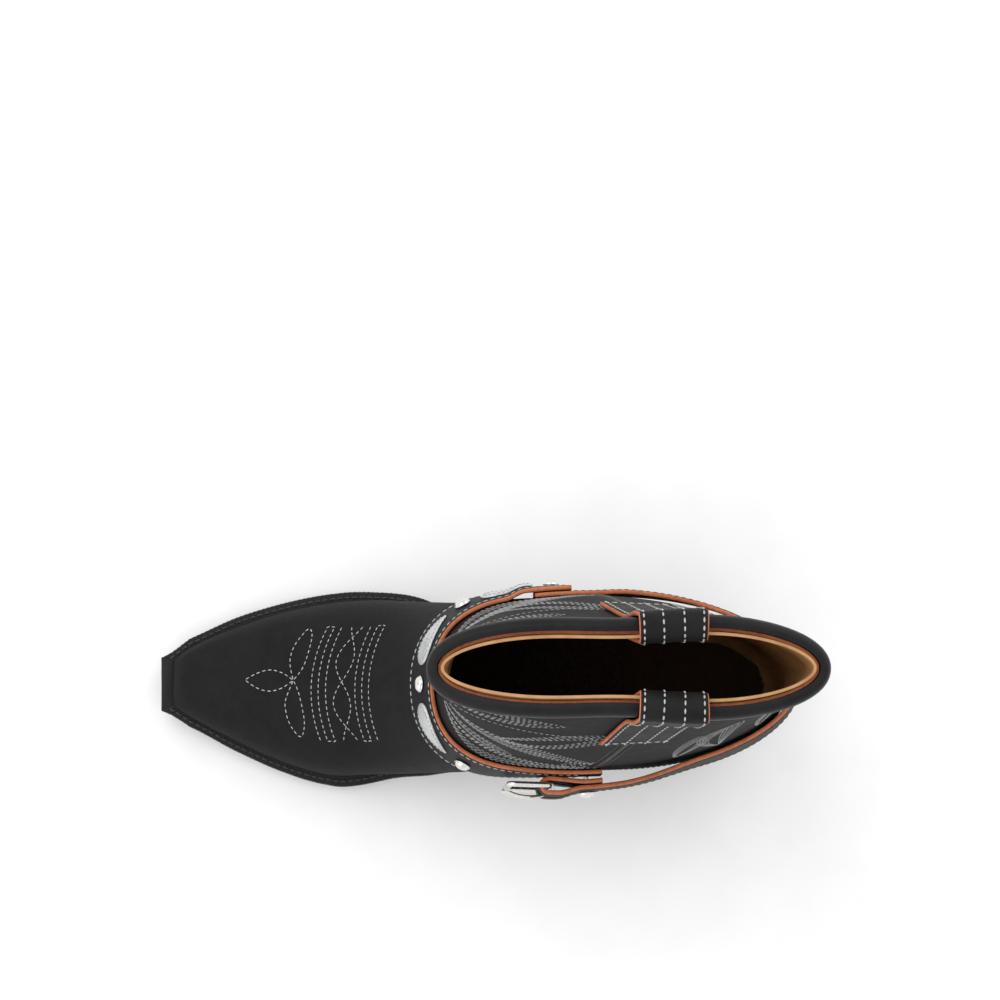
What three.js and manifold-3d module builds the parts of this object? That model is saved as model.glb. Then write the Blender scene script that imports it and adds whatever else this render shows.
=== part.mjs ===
// A left cowboy boot with a buckled harness strap, in millimetres, +Z up and the toe towards -X.
// The outer side, which carries the buckle, faces -Y. The origin is under the middle of the boot.
import * as THREE from "three";
import { mergeVertices } from "three/addons/utils/BufferGeometryUtils.js";
import Module from "manifold-3d";

const wasm = await Module();
wasm.setup();

// ---- Driving dimensions ----
const BOOT_LENGTH = 290; // toe edge of the outsole to the back of the heel counter
const BOOT_HEIGHT = 222; // floor to the collar line at the sides
const BALL_WIDTH = 92; // outsole, across the ball of the foot
const TOE_WIDTH = 25; // the flat snipped end of the outsole
const WAIST_WIDTH = 60; // outsole, across the arch
const HEEL_SEAT_WIDTH = 63; // outsole, across the heel
const ANKLE_WIDTH = 77; // upper, across the ankle
const COLLAR_WIDTH = 39; // upper, across the flattened top of the shaft
const COLLAR_DIP = 9; // how far the collar scoops down at the front and back
const TOE_BOX_HEIGHT = 20; // upper above the welt, a hand's breadth behind the toe edge
const INSTEP_HEIGHT = 107; // floor to where the front of the shaft turns upright
const TOE_SPRING = 8; // how far the toe lifts off the floor
const HEEL_HEIGHT = 39; // floor to the underside of the outsole at the back
const HEEL_LENGTH = 66; // heel breast to the back of the heel, at the outsole
const HEEL_UNDERCUT = 9; // how far the back of the heel slopes in at the floor
const HEEL_LIFTS = 5; // leather lifts between the outsole and the rubber cap
const HEEL_CAP = 6; // thickness of the rubber cap
const OUTSOLE = 5; // thickness of the outsole
const WELT = 2.7; // thickness of the welt, the heel rand and the cork between them
const WELT_BAND = 11; // width of the welt, from the sole's edge inwards
const WELT_LEDGE = 5; // how much of the welt shows outside the upper
const INSOLE = 2.2; // thickness of the insole
const SHANK_WIDTH = 14; // width of the steel shank
const NAIL = 1.2; // radius of a heel nail
const PAD = 1.5; // thickness of the heel pad
const LEATHER = 1.8; // thickness of the upper leather
const LINING = 1.2; // thickness of the lining, the stiffeners and the facing
const GAP = 0.3; // clearance between pieces that touch
const FACING_DEPTH = 16; // depth of the band inside the collar
const COLLAR_ROLL = 3.2; // how far the rolled collar edge stands out
const PIPING = 2.6; // width of the piping in each side seam
const PULL_WIDTH = 28; // width of a pull strap
const PULL_THICKNESS = 2.2; // thickness of a pull strap
const PULL_OUTER_LEG = 50; // pull strap below the collar on the outside
const PULL_INNER_LEG = 30; // pull strap below the collar on the inside
const PULL_CREST = 11; // top of a pull strap above the collar line
const STRAP_WIDTH = 28; // width of the harness strap
const STRAP = 2.2; // thickness of the harness strap
const STRAP_HEIGHT = 93; // floor to the strap's centre line at the side of the ankle
const STRAP_CLEAR = 0.5; // between the strap and the upper
const ORNAMENT_PITCH = 19.5; // spacing of the studs and inlays along the strap
const STUD_HEAD = 7.5; // diameter of a stud's dome
const STUD_SHANK = 2.4; // diameter of a stud's shank
const INLAY_LENGTH = 23; // silver leather inlay, along the strap
const INLAY_WIDTH = 13; // silver leather inlay, across the strap
const BUCKLE_LENGTH = 20; // buckle frame, along the strap
const BUCKLE_RAIL = 3; // width of the buckle frame's rails
const BUCKLE_BAR = 2.4; // thickness of the buckle frame and of its heel bar
const PRONG_WIDTH = 3.6; // width of the prong
const INLAY = 0.9; // thickness of a silver inlay

// ---- Sizes worked out from them ----
const L = BOOT_LENGTH;
const FEATHER = OUTSOLE + GAP + WELT + GAP; // underside of the outsole to the bottom of the upper
const HEEL_BREAST = L - HEEL_LENGTH;
const SHAFT_RISE = BOOT_HEIGHT - INSTEP_HEIGHT;
const STIFFENER_IN = LEATHER + GAP; // outer face of a stiffener, inside the upper's surface
const LINING_IN = STIFFENER_IN; // outer face of the lining where there is no stiffener
const FACING_IN = LINING_IN + LINING + GAP;

// ---- Small mathematics ----
const mix = (a, b, t) => a + (b - a) * t;
const clamp01 = (t) => Math.min(1, Math.max(0, t));
const smooth = (a, b, t) => THREE.MathUtils.smoothstep(clamp01((t - a) / (b - a)), 0, 1);

// A smooth curve through [position, value] pairs, as a function of the position.
function through(pairs) {
  const spline = new THREE.SplineCurve(pairs.map(([x, y]) => new THREE.Vector2(x, y)));
  const last = pairs.length - 1;
  return (x) => {
    let i = 0;
    while (i < last - 1 && x > pairs[i + 1][0]) i += 1;
    const t = clamp01((x - pairs[i][0]) / (pairs[i + 1][0] - pairs[i][0]));
    return spline.getPoint((i + t) / last).y;
  };
}

// Finds t in [low, high] where an increasing function of t reaches the value.
function reach(value, low, high, valueOf) {
  let a = low;
  let b = high;
  for (let step = 0; step < 32; step += 1) {
    const t = (a + b) / 2;
    if (valueOf(t) < value) a = t;
    else b = t;
  }
  return (a + b) / 2;
}

// ---- Solids ----
function solidOf(positions, indices) {
  const make = (triVerts) =>
    new wasm.Manifold(new wasm.Mesh({ numProp: 3, vertProperties: positions, triVerts }));
  const solid = make(indices);
  return solid.volume() < 0 ? make(indices.map((v, i) => indices[i - (i % 3) + (2 - (i % 3))])) : solid;
}

function solidOfGeometry(geometry) {
  const bare = geometry.clone();
  bare.deleteAttribute("normal");
  bare.deleteAttribute("uv");
  const merged = mergeVertices(bare, 1e-4);
  return solidOf(merged.attributes.position.array, new Uint32Array(merged.index.array));
}

// A closed solid through rings that each hold the same number of points.
function loft(rings) {
  const count = rings[0].length;
  const points = rings.flat();
  const faces = [];
  for (let r = 0; r + 1 < rings.length; r += 1) {
    for (let i = 0; i < count; i += 1) {
      const a = r * count + i;
      const b = r * count + ((i + 1) % count);
      faces.push(a, b, b + count, a, b + count, a + count);
    }
  }
  const firstCentre = points.length;
  const lastStart = (rings.length - 1) * count;
  points.push(centreOf(rings[0]), centreOf(rings[rings.length - 1]));
  for (let i = 0; i < count; i += 1) {
    const next = (i + 1) % count;
    faces.push(firstCentre, next, i);
    faces.push(firstCentre + 1, lastStart + i, lastStart + next);
  }
  return solidOf(new Float32Array(points.flatMap((p) => p.toArray())), new Uint32Array(faces));
}

// A closed solid through rings whose last ring joins the first.
function loopLoft(rings) {
  const count = rings[0].length;
  const faces = [];
  rings.forEach((ring, r) => {
    const next = ((r + 1) % rings.length) * count;
    for (let i = 0; i < count; i += 1) {
      const j = (i + 1) % count;
      faces.push(r * count + i, r * count + j, next + j, r * count + i, next + j, next + i);
    }
  });
  const points = rings.flat().flatMap((p) => p.toArray());
  return solidOf(new Float32Array(points), new Uint32Array(faces));
}

function centreOf(ring) {
  const sum = ring.reduce((total, p) => total.add(p), new THREE.Vector3());
  return sum.divideScalar(ring.length);
}

// An outline in X and Z, carried across the whole width of the boot.
function sideCut(outline) {
  const shape = new THREE.Shape(outline.map(([x, z]) => new THREE.Vector2(x, z)));
  const geometry = new THREE.ExtrudeGeometry(shape, { depth: 3 * BALL_WIDTH, bevelEnabled: false });
  geometry.translate(0, 0, -1.5 * BALL_WIDTH);
  geometry.rotateX(Math.PI / 2);
  return solidOfGeometry(geometry);
}

// ---- Sole line: everything under the upper follows it ----
const soleBottom = through([
  [0, TOE_SPRING],
  [0.09 * L, TOE_SPRING * 0.5],
  [0.19 * L, TOE_SPRING * 0.1],
  [0.3 * L, 0],
  [0.4 * L, HEEL_HEIGHT * 0.03],
  [0.49 * L, HEEL_HEIGHT * 0.2],
  [0.6 * L, HEEL_HEIGHT * 0.58],
  [0.7 * L, HEEL_HEIGHT * 0.84],
  [HEEL_BREAST, HEEL_HEIGHT * 0.93],
  [L, HEEL_HEIGHT],
]);
const feather = (x) => soleBottom(x) + FEATHER;

// Half widths of the outsole towards each side, along its length.
const innerHalf = through([
  [0, TOE_WIDTH * 0.56],
  [0.045 * L, BALL_WIDTH * 0.25],
  [0.12 * L, BALL_WIDTH * 0.36],
  [0.2 * L, BALL_WIDTH * 0.438],
  [0.28 * L, BALL_WIDTH * 0.485],
  [0.34 * L, BALL_WIDTH * 0.492],
  [0.41 * L, BALL_WIDTH * 0.468],
  [0.48 * L, mix(BALL_WIDTH, WAIST_WIDTH, 0.55) * 0.47],
  [0.6 * L, WAIST_WIDTH * 0.46],
  [0.72 * L, WAIST_WIDTH * 0.47],
  [0.85 * L, HEEL_SEAT_WIDTH * 0.5],
  [L, HEEL_SEAT_WIDTH * 0.5],
]);
const outerHalf = through([
  [0, TOE_WIDTH * 0.44],
  [0.045 * L, BALL_WIDTH * 0.2],
  [0.12 * L, BALL_WIDTH * 0.325],
  [0.2 * L, BALL_WIDTH * 0.435],
  [0.27 * L, BALL_WIDTH * 0.497],
  [0.31 * L, BALL_WIDTH * 0.502],
  [0.38 * L, BALL_WIDTH * 0.46],
  [0.45 * L, mix(BALL_WIDTH, WAIST_WIDTH, 0.35) * 0.5],
  [0.6 * L, WAIST_WIDTH * 0.555],
  [0.72 * L, WAIST_WIDTH * 0.53],
  [0.85 * L, HEEL_SEAT_WIDTH * 0.5],
  [L, HEEL_SEAT_WIDTH * 0.5],
]);

// A point on the sole's edge: side is +1 inner or -1 outer, and inset moves it inwards.
// back is the X of the rearmost point, where the two sides meet in a half circle.
function edgePoint(side, along, inset, back = L - 2) {
  const x = mix(inset, back - inset, along);
  const half = side > 0 ? innerHalf(x) : outerHalf(x);
  const round = HEEL_SEAT_WIDTH * 0.52;
  const past = clamp01((x - (back - inset - round)) / round);
  return new THREE.Vector2(x, side * Math.max(half - inset, 1) * Math.sqrt(1 - past * past));
}

// Stations along the sole, closer together where the heel turns.
function soleStations(from, to, count) {
  const even = Array.from({ length: count }, (_, i) => mix(from, to, i / count));
  const turn = [0.25, 0.45, 0.62, 0.76, 0.87, 0.95, 0.985].map((t) => mix(even[count - 1], to, t));
  return to > 0.99 ? [...even, ...turn] : [...even, to];
}

// A plate that follows the sole line between two heights above its underside.
function solePlate(from, to, count, inset, low, high) {
  const rings = soleStations(from, to, count).map((along) => {
    const inner = edgePoint(1, along, inset);
    const outer = edgePoint(-1, along, inset);
    const z = soleBottom(inner.x);
    return [
      new THREE.Vector3(inner.x, inner.y, z + low),
      new THREE.Vector3(outer.x, outer.y, z + low),
      new THREE.Vector3(outer.x, outer.y, z + high),
      new THREE.Vector3(inner.x, inner.y, z + high),
    ];
  });
  return loft(rings);
}

// A band along the sole's edge, through the listed [side, along] stations.
function soleBand(stations, outerInset, innerInset, low, high) {
  const rings = stations.map(([side, along]) => {
    const out = edgePoint(side, along, outerInset);
    const inn = edgePoint(side, along, innerInset);
    return [
      new THREE.Vector3(out.x, out.y, soleBottom(out.x) + low),
      new THREE.Vector3(out.x, out.y, soleBottom(out.x) + high),
      new THREE.Vector3(inn.x, inn.y, soleBottom(inn.x) + high),
      new THREE.Vector3(inn.x, inn.y, soleBottom(inn.x) + low),
    ];
  });
  return loft(rings);
}

const BREAST_ALONG = HEEL_BREAST / (L - 2);

function outsole() {
  return solePlate(0, 0.999, 34, 0, 0, OUTSOLE);
}

function welt() {
  const side = soleStations(0, BREAST_ALONG - 0.01, 26);
  const stations = [...side.map((t) => [-1, t]).reverse(), ...side.map((t) => [1, t])];
  return soleBand(stations, 0, WELT_BAND, OUTSOLE + GAP, OUTSOLE + GAP + WELT);
}

function heelRand() {
  const side = soleStations(BREAST_ALONG + 0.01, 0.999, 6);
  const stations = [...side.map((t) => [-1, t]), ...side.map((t) => [1, t]).reverse()];
  return soleBand(stations, 0, WELT_BAND, OUTSOLE + GAP, OUTSOLE + GAP + WELT);
}

function corkFiller() {
  return solePlate(0.03, 0.58, 20, WELT_BAND + GAP, OUTSOLE + GAP, OUTSOLE + GAP + WELT);
}

function shank() {
  const half = SHANK_WIDTH / 2;
  const low = OUTSOLE + GAP;
  const rings = Array.from({ length: 16 }, (_, i) => {
    const x = mix(0.6 * L, 0.9 * L, i / 15);
    const z = soleBottom(x) + low;
    return [
      new THREE.Vector3(x, half, z),
      new THREE.Vector3(x, -half, z),
      new THREE.Vector3(x, -half, z + WELT - GAP),
      new THREE.Vector3(x, half, z + WELT - GAP),
    ];
  });
  return loft(rings);
}

// ---- Heel ----
const nailPlaces = [
  [L - 18, 0],
  [L - 36, 15],
  [L - 36, -15],
];

// The heel's outline at height z, from the breast round the back and forwards again.
function heelRing(z, level = () => z) {
  const drop = 1 - z / HEEL_HEIGHT;
  const inset = 1 + 2.5 * drop;
  const back = L - 2 - HEEL_UNDERCUT * drop;
  const front = HEEL_BREAST + 3 * drop;
  const from = (front - inset) / (back - 2 * inset);
  const side = soleStations(from, 0.999, 4);
  const order = [...side.map((t) => [1, t]), ...side.map((t) => [-1, t]).reverse()];
  return order.map(([s, t]) => {
    const p = edgePoint(s, t, inset, back);
    return new THREE.Vector3(p.x, p.y, level(p.x));
  });
}

function withNailHoles(solid) {
  const holes = nailPlaces.map(([x, y]) => nailShape(x, y, NAIL + GAP, -1, 2 * HEEL_HEIGHT));
  return holes.reduce((left, hole) => left.subtract(hole), solid);
}

function nailShape(x, y, radius, low, high) {
  const geometry = new THREE.CylinderGeometry(radius, radius, high - low, 8);
  geometry.rotateX(Math.PI / 2);
  geometry.translate(x, y, (low + high) / 2);
  return solidOfGeometry(geometry);
}

function heelCap() {
  return loft([heelRing(0), heelRing(HEEL_CAP)]);
}

// Lift 1 lies on the rubber cap, and the top lift follows the outsole.
function heelLift(number) {
  const rise = HEEL_HEIGHT * 0.9 - HEEL_CAP;
  const low = HEEL_CAP + GAP + (rise * (number - 1)) / HEEL_LIFTS;
  const high = HEEL_CAP + (rise * number) / HEEL_LIFTS;
  const top = number === HEEL_LIFTS ? heelRing(high, (x) => soleBottom(x) - GAP) : heelRing(high);
  return withNailHoles(loft([heelRing(low), top]));
}

function heelNail([x, y]) {
  return nailShape(x, y, NAIL, HEEL_CAP + GAP, soleBottom(x) - GAP);
}

// ---- The last: the surface that the whole upper follows ----
// Each station is a section in the plane through a front point (fx, fz) and a back point (bx, bz).
// half is its half width, wide is where it is widest (0 back, 1 front), and flat and round are the
// powers of its back and front halves: 2 is an ellipse, more is squarer.
const UNDER = 6; // how far the closed last reaches below the feather line
const toeHalf = (x) => (innerHalf(x) + outerHalf(x)) / 2 - WELT_LEDGE;
const sideShift = (x) => (innerHalf(x) - outerHalf(x)) / 2;
const under = (x) => feather(x) - UNDER;

function footStation(at, rise, wide, flat, round) {
  const x = at * L;
  return [x, feather(x) + rise, x, under(x), toeHalf(x), sideShift(x), wide, flat, round];
}

function bendStation(fx, fz, bx, half, shift, wide, flat) {
  return [fx * L, fz, bx * L, under(bx * L), half, shift, wide, flat, 2.2];
}

// rise is the front point's share of the shaft's height, and bz the back point's height.
function shaftStation(fx, rise, bx, bz, spread, shift, wide, flat) {
  const half = mix(COLLAR_WIDTH / 2, ANKLE_WIDTH / 2, spread);
  return [fx * L, INSTEP_HEIGHT + rise * SHAFT_RISE, bx * L, bz, half, shift, wide, flat, 2.1];
}

const ANKLE = ANKLE_WIDTH / 2;
const seat = feather(L);
const stations = [
  footStation(0.021, 3, 0.5, 3, 3),
  footStation(0.028, TOE_BOX_HEIGHT * 0.42, 0.4, 3.5, 3),
  footStation(0.05, TOE_BOX_HEIGHT * 0.7, 0.34, 4, 2.8),
  footStation(0.1, TOE_BOX_HEIGHT * 0.95, 0.28, 4, 2.5),
  footStation(0.185, TOE_BOX_HEIGHT * 1.36, 0.25, 4, 2.3),
  footStation(0.27, TOE_BOX_HEIGHT * 1.82, 0.24, 4, 2.2),
  bendStation(0.34, INSTEP_HEIGHT * 0.52, 0.35, ANKLE + 2.2, 0, 0.27, 3.6),
  bendStation(0.39, INSTEP_HEIGHT * 0.67, 0.45, ANKLE + 1.2, -0.5, 0.34, 3.2),
  bendStation(0.427, INSTEP_HEIGHT * 0.84, 0.57, ANKLE, -1, 0.46, 3.2),
  bendStation(0.449, INSTEP_HEIGHT, 0.69, ANKLE, -1, 0.56, 3.2),
  shaftStation(0.459, 0.13, 0.82, under(0.82 * L), 1, -1, 0.6, 3),
  shaftStation(0.462, 0.24, 0.935, under(0.935 * L) + 1, 0.99, -0.8, 0.58, 2.7),
  shaftStation(0.462, 0.34, 0.989, mix(seat, STRAP_HEIGHT, 0.12), 0.96, -0.5, 0.57, 2.3),
  shaftStation(0.462, 0.44, 1, mix(seat, STRAP_HEIGHT, 0.72), 0.9, 0, 0.56, 2),
  shaftStation(0.462, 0.56, 0.99, mix(STRAP_HEIGHT, BOOT_HEIGHT, 0.15), 0.78, 0.5, 0.55, 1.9),
  shaftStation(0.46, 0.7, 0.986, mix(STRAP_HEIGHT, BOOT_HEIGHT, 0.42), 0.58, 1, 0.52, 1.9),
  shaftStation(0.457, 0.85, 0.994, mix(STRAP_HEIGHT, BOOT_HEIGHT, 0.7), 0.31, 1.5, 0.48, 2),
  shaftStation(0.45, 1, 1.007, BOOT_HEIGHT, 0, 2, 0.45, 2.1),
  shaftStation(0.444, 1.14, 1.015, BOOT_HEIGHT + 0.14 * SHAFT_RISE, -0.08, 2, 0.45, 2.1),
];

const stationSplines = stations[0].map(
  (_, k) => new THREE.SplineCurve(stations.map((row, i) => new THREE.Vector2(i, row[k]))),
);

// The surface point at u (0 toe, 1 above the collar) and turn (0 front, 0.25 inner side,
// 0.5 sole and heel back, 0.75 outer side).
function lastPoint(u, turn) {
  const [fx, fz, bx, bz, half, shift, wide, flat, round] = stationSplines.map((s) => s.getPoint(u).y);
  const angle = 2 * Math.PI * turn;
  const c = Math.cos(angle);
  const power = c > 0 ? round : flat;
  const along = c > 0 ? mix(wide, 1, c) : wide * (1 + c);
  const pinch = 0.16 * smooth(0.72, 0.97, u) * Math.exp(-(((along - 0.52) / 0.2) ** 2));
  const out = Math.pow(Math.max(0, 1 - Math.pow(Math.abs(c), power)), 1 / power);
  const y = Math.sign(Math.sin(angle)) * half * out * (1 - pinch) + shift;
  return new THREE.Vector3(mix(bx, fx, along), y, mix(bz, fz, along));
}

function lastNormal(u, turn) {
  const du = 0.002;
  const dt = 0.003;
  const alongU = lastPoint(Math.min(1, u + du), turn).sub(lastPoint(Math.max(0, u - du), turn));
  const aroundT = lastPoint(u, turn + dt).sub(lastPoint(u, turn - dt));
  return alongU.cross(aroundT).normalize();
}

const SLIVER = 0.03; // detail smaller than this is left out of the cut shells
const RING_TURNS = 30; // points round each section
const RING_COUNT = 28; // sections from the toe to the collar

// The closed last, moved inwards by a depth that may change from place to place.
function last(depthAt) {
  const rings = [];
  for (let r = 0; r <= RING_COUNT; r += 1) {
    const u = r / RING_COUNT;
    rings.push(
      Array.from({ length: RING_TURNS }, (_, i) => {
        const p = lastPoint(u, i / RING_TURNS);
        return p.addScaledVector(lastNormal(u, i / RING_TURNS), -depthAt(p));
      }),
    );
  }
  return loft(rings);
}


// ---- Upper: each shell is the space between two depths of the last ----
// The lining goes in deeper where it passes over the toe box and the heel counter.
function stiffened(p) {
  const toe = 1 - smooth(0.235 * L, 0.29 * L, p.x);
  const heel = smooth(0.67 * L, 0.73 * L, p.x) * (1 - smooth(0.97, 1.15, p.z / STRAP_HEIGHT));
  return Math.max(toe, heel) * (LINING + GAP);
}

const depths = {
  surface: last(() => 0),
  leather: last(() => LEATHER),
  stiffenerOut: last(() => STIFFENER_IN),
  stiffenerIn: last(() => STIFFENER_IN + LINING),
  liningOut: last((p) => LINING_IN + stiffened(p)),
  liningIn: last((p) => LINING_IN + LINING + stiffened(p)),
  facingOut: last(() => FACING_IN),
  facingIn: last(() => FACING_IN + LINING),
  inside: last((p) => LINING_IN + LINING + GAP + stiffened(p)),
};

// Edges in the side view, as [x, z] points from the sole upwards or from front to back.
const FAR = 2 * BOOT_HEIGHT;
const TOE_END = 0.028 * L;
const COUNTER_TOP = STRAP_HEIGHT - 2;
const COUNTER_FOOT = 0.62 * L;
const collarMiddle = 0.725 * L;
const collarLine = (x) => BOOT_HEIGHT - COLLAR_DIP * ((x - collarMiddle) / (0.28 * L)) ** 2;
const vampTop = [
  [COUNTER_FOOT, INSTEP_HEIGHT * 0.62],
  [0.52 * L, INSTEP_HEIGHT * 0.76],
  [0.46 * L, INSTEP_HEIGHT * 0.9],
  [0.3 * L, INSTEP_HEIGHT * 1.3],
];
const counterTop = [
  [COUNTER_FOOT, vampTop[0][1]],
  [0.74 * L, mix(vampTop[0][1], COUNTER_TOP, 0.45)],
  [0.88 * L, mix(vampTop[0][1], COUNTER_TOP, 0.8)],
  [1.1 * L, COUNTER_TOP],
];
const seamFoot = [COUNTER_FOOT + 0.02 * L, vampTop[0][1]];
const seamHead = [0.79 * L, BOOT_HEIGHT];
const seamX = (z) => mix(seamFoot[0], seamHead[0], (z - seamFoot[1]) / (seamHead[1] - seamFoot[1]));

// The feather line between two places, as points from front to back.
function featherLine(from, to, lift = 0) {
  return Array.from({ length: 37 }, (_, i) => {
    const x = mix(from, to, i / 36);
    return [x, feather(x) + lift];
  });
}

function collarEdge(from, to, drop) {
  return Array.from({ length: 17 }, (_, i) => {
    const x = mix(from, to, i / 16);
    return [x, collarLine(x) - drop];
  });
}

function shell(outside, inside, ...cuts) {
  const whole = depths[outside].subtract(depths[inside]);
  return largest(cuts.reduce((left, cut) => left.intersect(cut), whole));
}

// The biggest of the bodies that a cut leaves, without the slivers along the cut.
function largest(solid) {
  const bodies = solid.simplify(SLIVER).decompose();
  return bodies.reduce((best, body) => (body.volume() > best.volume() ? body : best));
}

const aboveSole = sideCut([...featherLine(-0.1 * L, 1.1 * L), [1.1 * L, FAR], [-0.1 * L, FAR]]);

// The region in front of the counter and under the vamp's top line, from the given X.
function vampCut(front) {
  const back = COUNTER_FOOT - GAP;
  const top = [[back, vampTop[0][1]], ...vampTop.slice(1)];
  return sideCut([[front, 0], [back, 0], ...top, [front, vampTop[3][1]]]);
}

function vamp() {
  return shell("surface", "leather", aboveSole, vampCut(TOE_END));
}

function vampLining() {
  const front = TOE_END + LEATHER + LINING + 2 * GAP;
  return shell("liningOut", "liningIn", aboveSole, vampCut(front));
}

function toeBox() {
  const front = TOE_END + LEATHER + GAP;
  const back = 0.19 * L;
  const cut = sideCut([[front, 0], [back + 8, 0], [back, FAR / 3], [front, FAR / 3]]);
  return shell("stiffenerOut", "stiffenerIn", aboveSole, cut);
}

function counterCover() {
  return shell("surface", "leather", aboveSole, counterCut(COUNTER_FOOT, 0));
}

function heelCounter() {
  return shell("stiffenerOut", "stiffenerIn", aboveSole, counterCut(0.76 * L, 9));
}

// The region below the counter's top line, from the given X backwards.
function counterCut(from, drop) {
  const top = counterTop.map(([x, z]) => [Math.max(x, from), z - drop]).reverse();
  return sideCut([[from, 0], [1.1 * L, 0], ...top]);
}

// Front and back of the shaft meet at the side seams, either side of the piping.
function shaftFrontCut(drop, half) {
  const low = seamFoot[1] + 3;
  return sideCut([
    ...[...vampTop].reverse().map(([x, z]) => [x + GAP, z + GAP]),
    [seamX(low) - half, low],
    [seamX(FAR) - half, FAR],
    [0.3 * L, FAR],
  ]).intersect(belowCollar(drop));
}

function shaftBackCut(drop, half) {
  const low = mix(counterTop[0][1], counterTop[1][1], 0.25) + 3;
  return sideCut([
    [seamX(low) + half, low],
    ...counterTop.slice(1).map(([x, z]) => [x, z + GAP]),
    [1.1 * L, FAR],
    [seamX(FAR) + half, FAR],
  ]).intersect(belowCollar(drop));
}

function belowCollar(drop) {
  return sideCut([[0.2 * L, 0], [1.2 * L, 0], ...collarEdge(1.2 * L, 0.2 * L, drop)]);
}

// The insole and the pad on it fill the inside of the lining, from wall to wall.
function insole() {
  return insideLining(0, INSOLE, -0.13 * L);
}

function heelPad() {
  return insideLining(INSOLE + GAP, INSOLE + GAP + PAD, HEEL_BREAST - 8);
}

function insideLining(low, high, from) {
  const slab = sideCut([...featherLine(from, 1.1 * L, low), ...featherLine(1.1 * L, from, high)]);
  return largest(depths.inside.intersect(slab));
}

const EDGE_DROP = 1.4; // the panels stop just under the rolled edge

function shaftFront() {
  return shell("surface", "leather", shaftFrontCut(EDGE_DROP, PIPING / 2 + GAP));
}

function shaftBack() {
  return shell("surface", "leather", shaftBackCut(EDGE_DROP, PIPING / 2 + GAP));
}

function shaftLiningFront() {
  return shell("liningOut", "liningIn", shaftFrontCut(EDGE_DROP, GAP / 2));
}

// The back lining runs from the collar down to the insole, behind the vamp lining.
function shaftLiningBack() {
  const low = seamFoot[1] + 3;
  const cut = sideCut([
    [COUNTER_FOOT, 0],
    [1.1 * L, 0],
    [1.1 * L, FAR],
    [seamX(FAR) + GAP / 2, FAR],
    [seamX(low) + GAP / 2, low],
    [COUNTER_FOOT, seamFoot[1]],
  ]);
  return shell("liningOut", "liningIn", aboveSole, cut, belowCollar(EDGE_DROP));
}

function collarFacing() {
  const band = sideCut([
    ...collarEdge(0.2 * L, 1.2 * L, FACING_DEPTH),
    ...collarEdge(1.2 * L, 0.2 * L, -1.2),
  ]);
  return shell("facingOut", "facingIn", band);
}

// Piping in a side seam: side is +1 inner or -1 outer.
function sidePiping(side) {
  const half = PIPING / 2;
  const low = seamFoot[1] + 8;
  const high = BOOT_HEIGHT - EDGE_DROP - 1;
  const strip = sideCut([
    [seamX(low) - half, low],
    [seamX(low) + half, low],
    [seamX(high) + half, high],
    [seamX(high) - half, high],
  ]);
  const bodies = depths.surface.subtract(depths.leather).intersect(strip).decompose();
  return bodies.find((body) => Math.sign(body.boundingBox().max[1]) === side);
}

// ---- Places on the last ----
// u where the surface reaches height z at the given turn.
const heightAt = (turn, z) => reach(z, 0.05, 1, (u) => lastPoint(u, turn).z);

// turn on one side where the surface at height z reaches X.
function turnAt(side, x, z) {
  const half = reach(x, 0.01, 0.49, (t) => lastPoint(heightAt(side > 0 ? t : 1 - t, z), t).x);
  return side > 0 ? half : 1 - half;
}

// The surface point nearest to a target, starting from a place close to it.
function nearestOnLast(target, u, turn) {
  const step = 1e-3;
  let spot = { u, turn };
  for (let i = 0; i < 6; i += 1) {
    const p = lastPoint(spot.u, spot.turn);
    const a = lastPoint(spot.u + step, spot.turn).sub(p).divideScalar(step);
    const b = lastPoint(spot.u, spot.turn + step).sub(p).divideScalar(step);
    const r = target.clone().sub(p);
    const [aa, ab, bb, ar, br] = [a.dot(a), a.dot(b), b.dot(b), a.dot(r), b.dot(r)];
    const scale = 1 / (aa * bb - ab * ab);
    spot = { u: spot.u + (ar * bb - br * ab) * scale, turn: spot.turn + (br * aa - ar * ab) * scale };
  }
  return spot;
}

function collarHeightAt(turn) {
  return reach(0, 0.6, 1, (u) => {
    const p = lastPoint(u, turn);
    return p.z - collarLine(p.x);
  });
}

// The rolled edge: an outward bead with a lip that closes over the top of the panels.
function collarBinding() {
  const bead = [
    [1.6 * GAP, -6],
    [COLLAR_ROLL * 0.75, -5.6],
    [COLLAR_ROLL, -3.2],
    [COLLAR_ROLL * 0.8, -0.6],
    [COLLAR_ROLL * 0.2, 1.2],
    [-LEATHER, 1.2],
    [-LEATHER, -EDGE_DROP + 2 * GAP],
    [1.6 * GAP, -EDGE_DROP + 2 * GAP],
  ];
  const rings = Array.from({ length: RING_TURNS }, (_, i) => {
    const turn = i / RING_TURNS;
    const u = collarHeightAt(turn);
    const edge = lastPoint(u, turn);
    const out = lastNormal(u, turn);
    const up = edge.clone().sub(lastPoint(u - 0.02, turn)).normalize();
    return bead.map(([o, h]) => edge.clone().addScaledVector(out, o).addScaledVector(up, h));
  });
  return loopLoft(rings);
}

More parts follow.
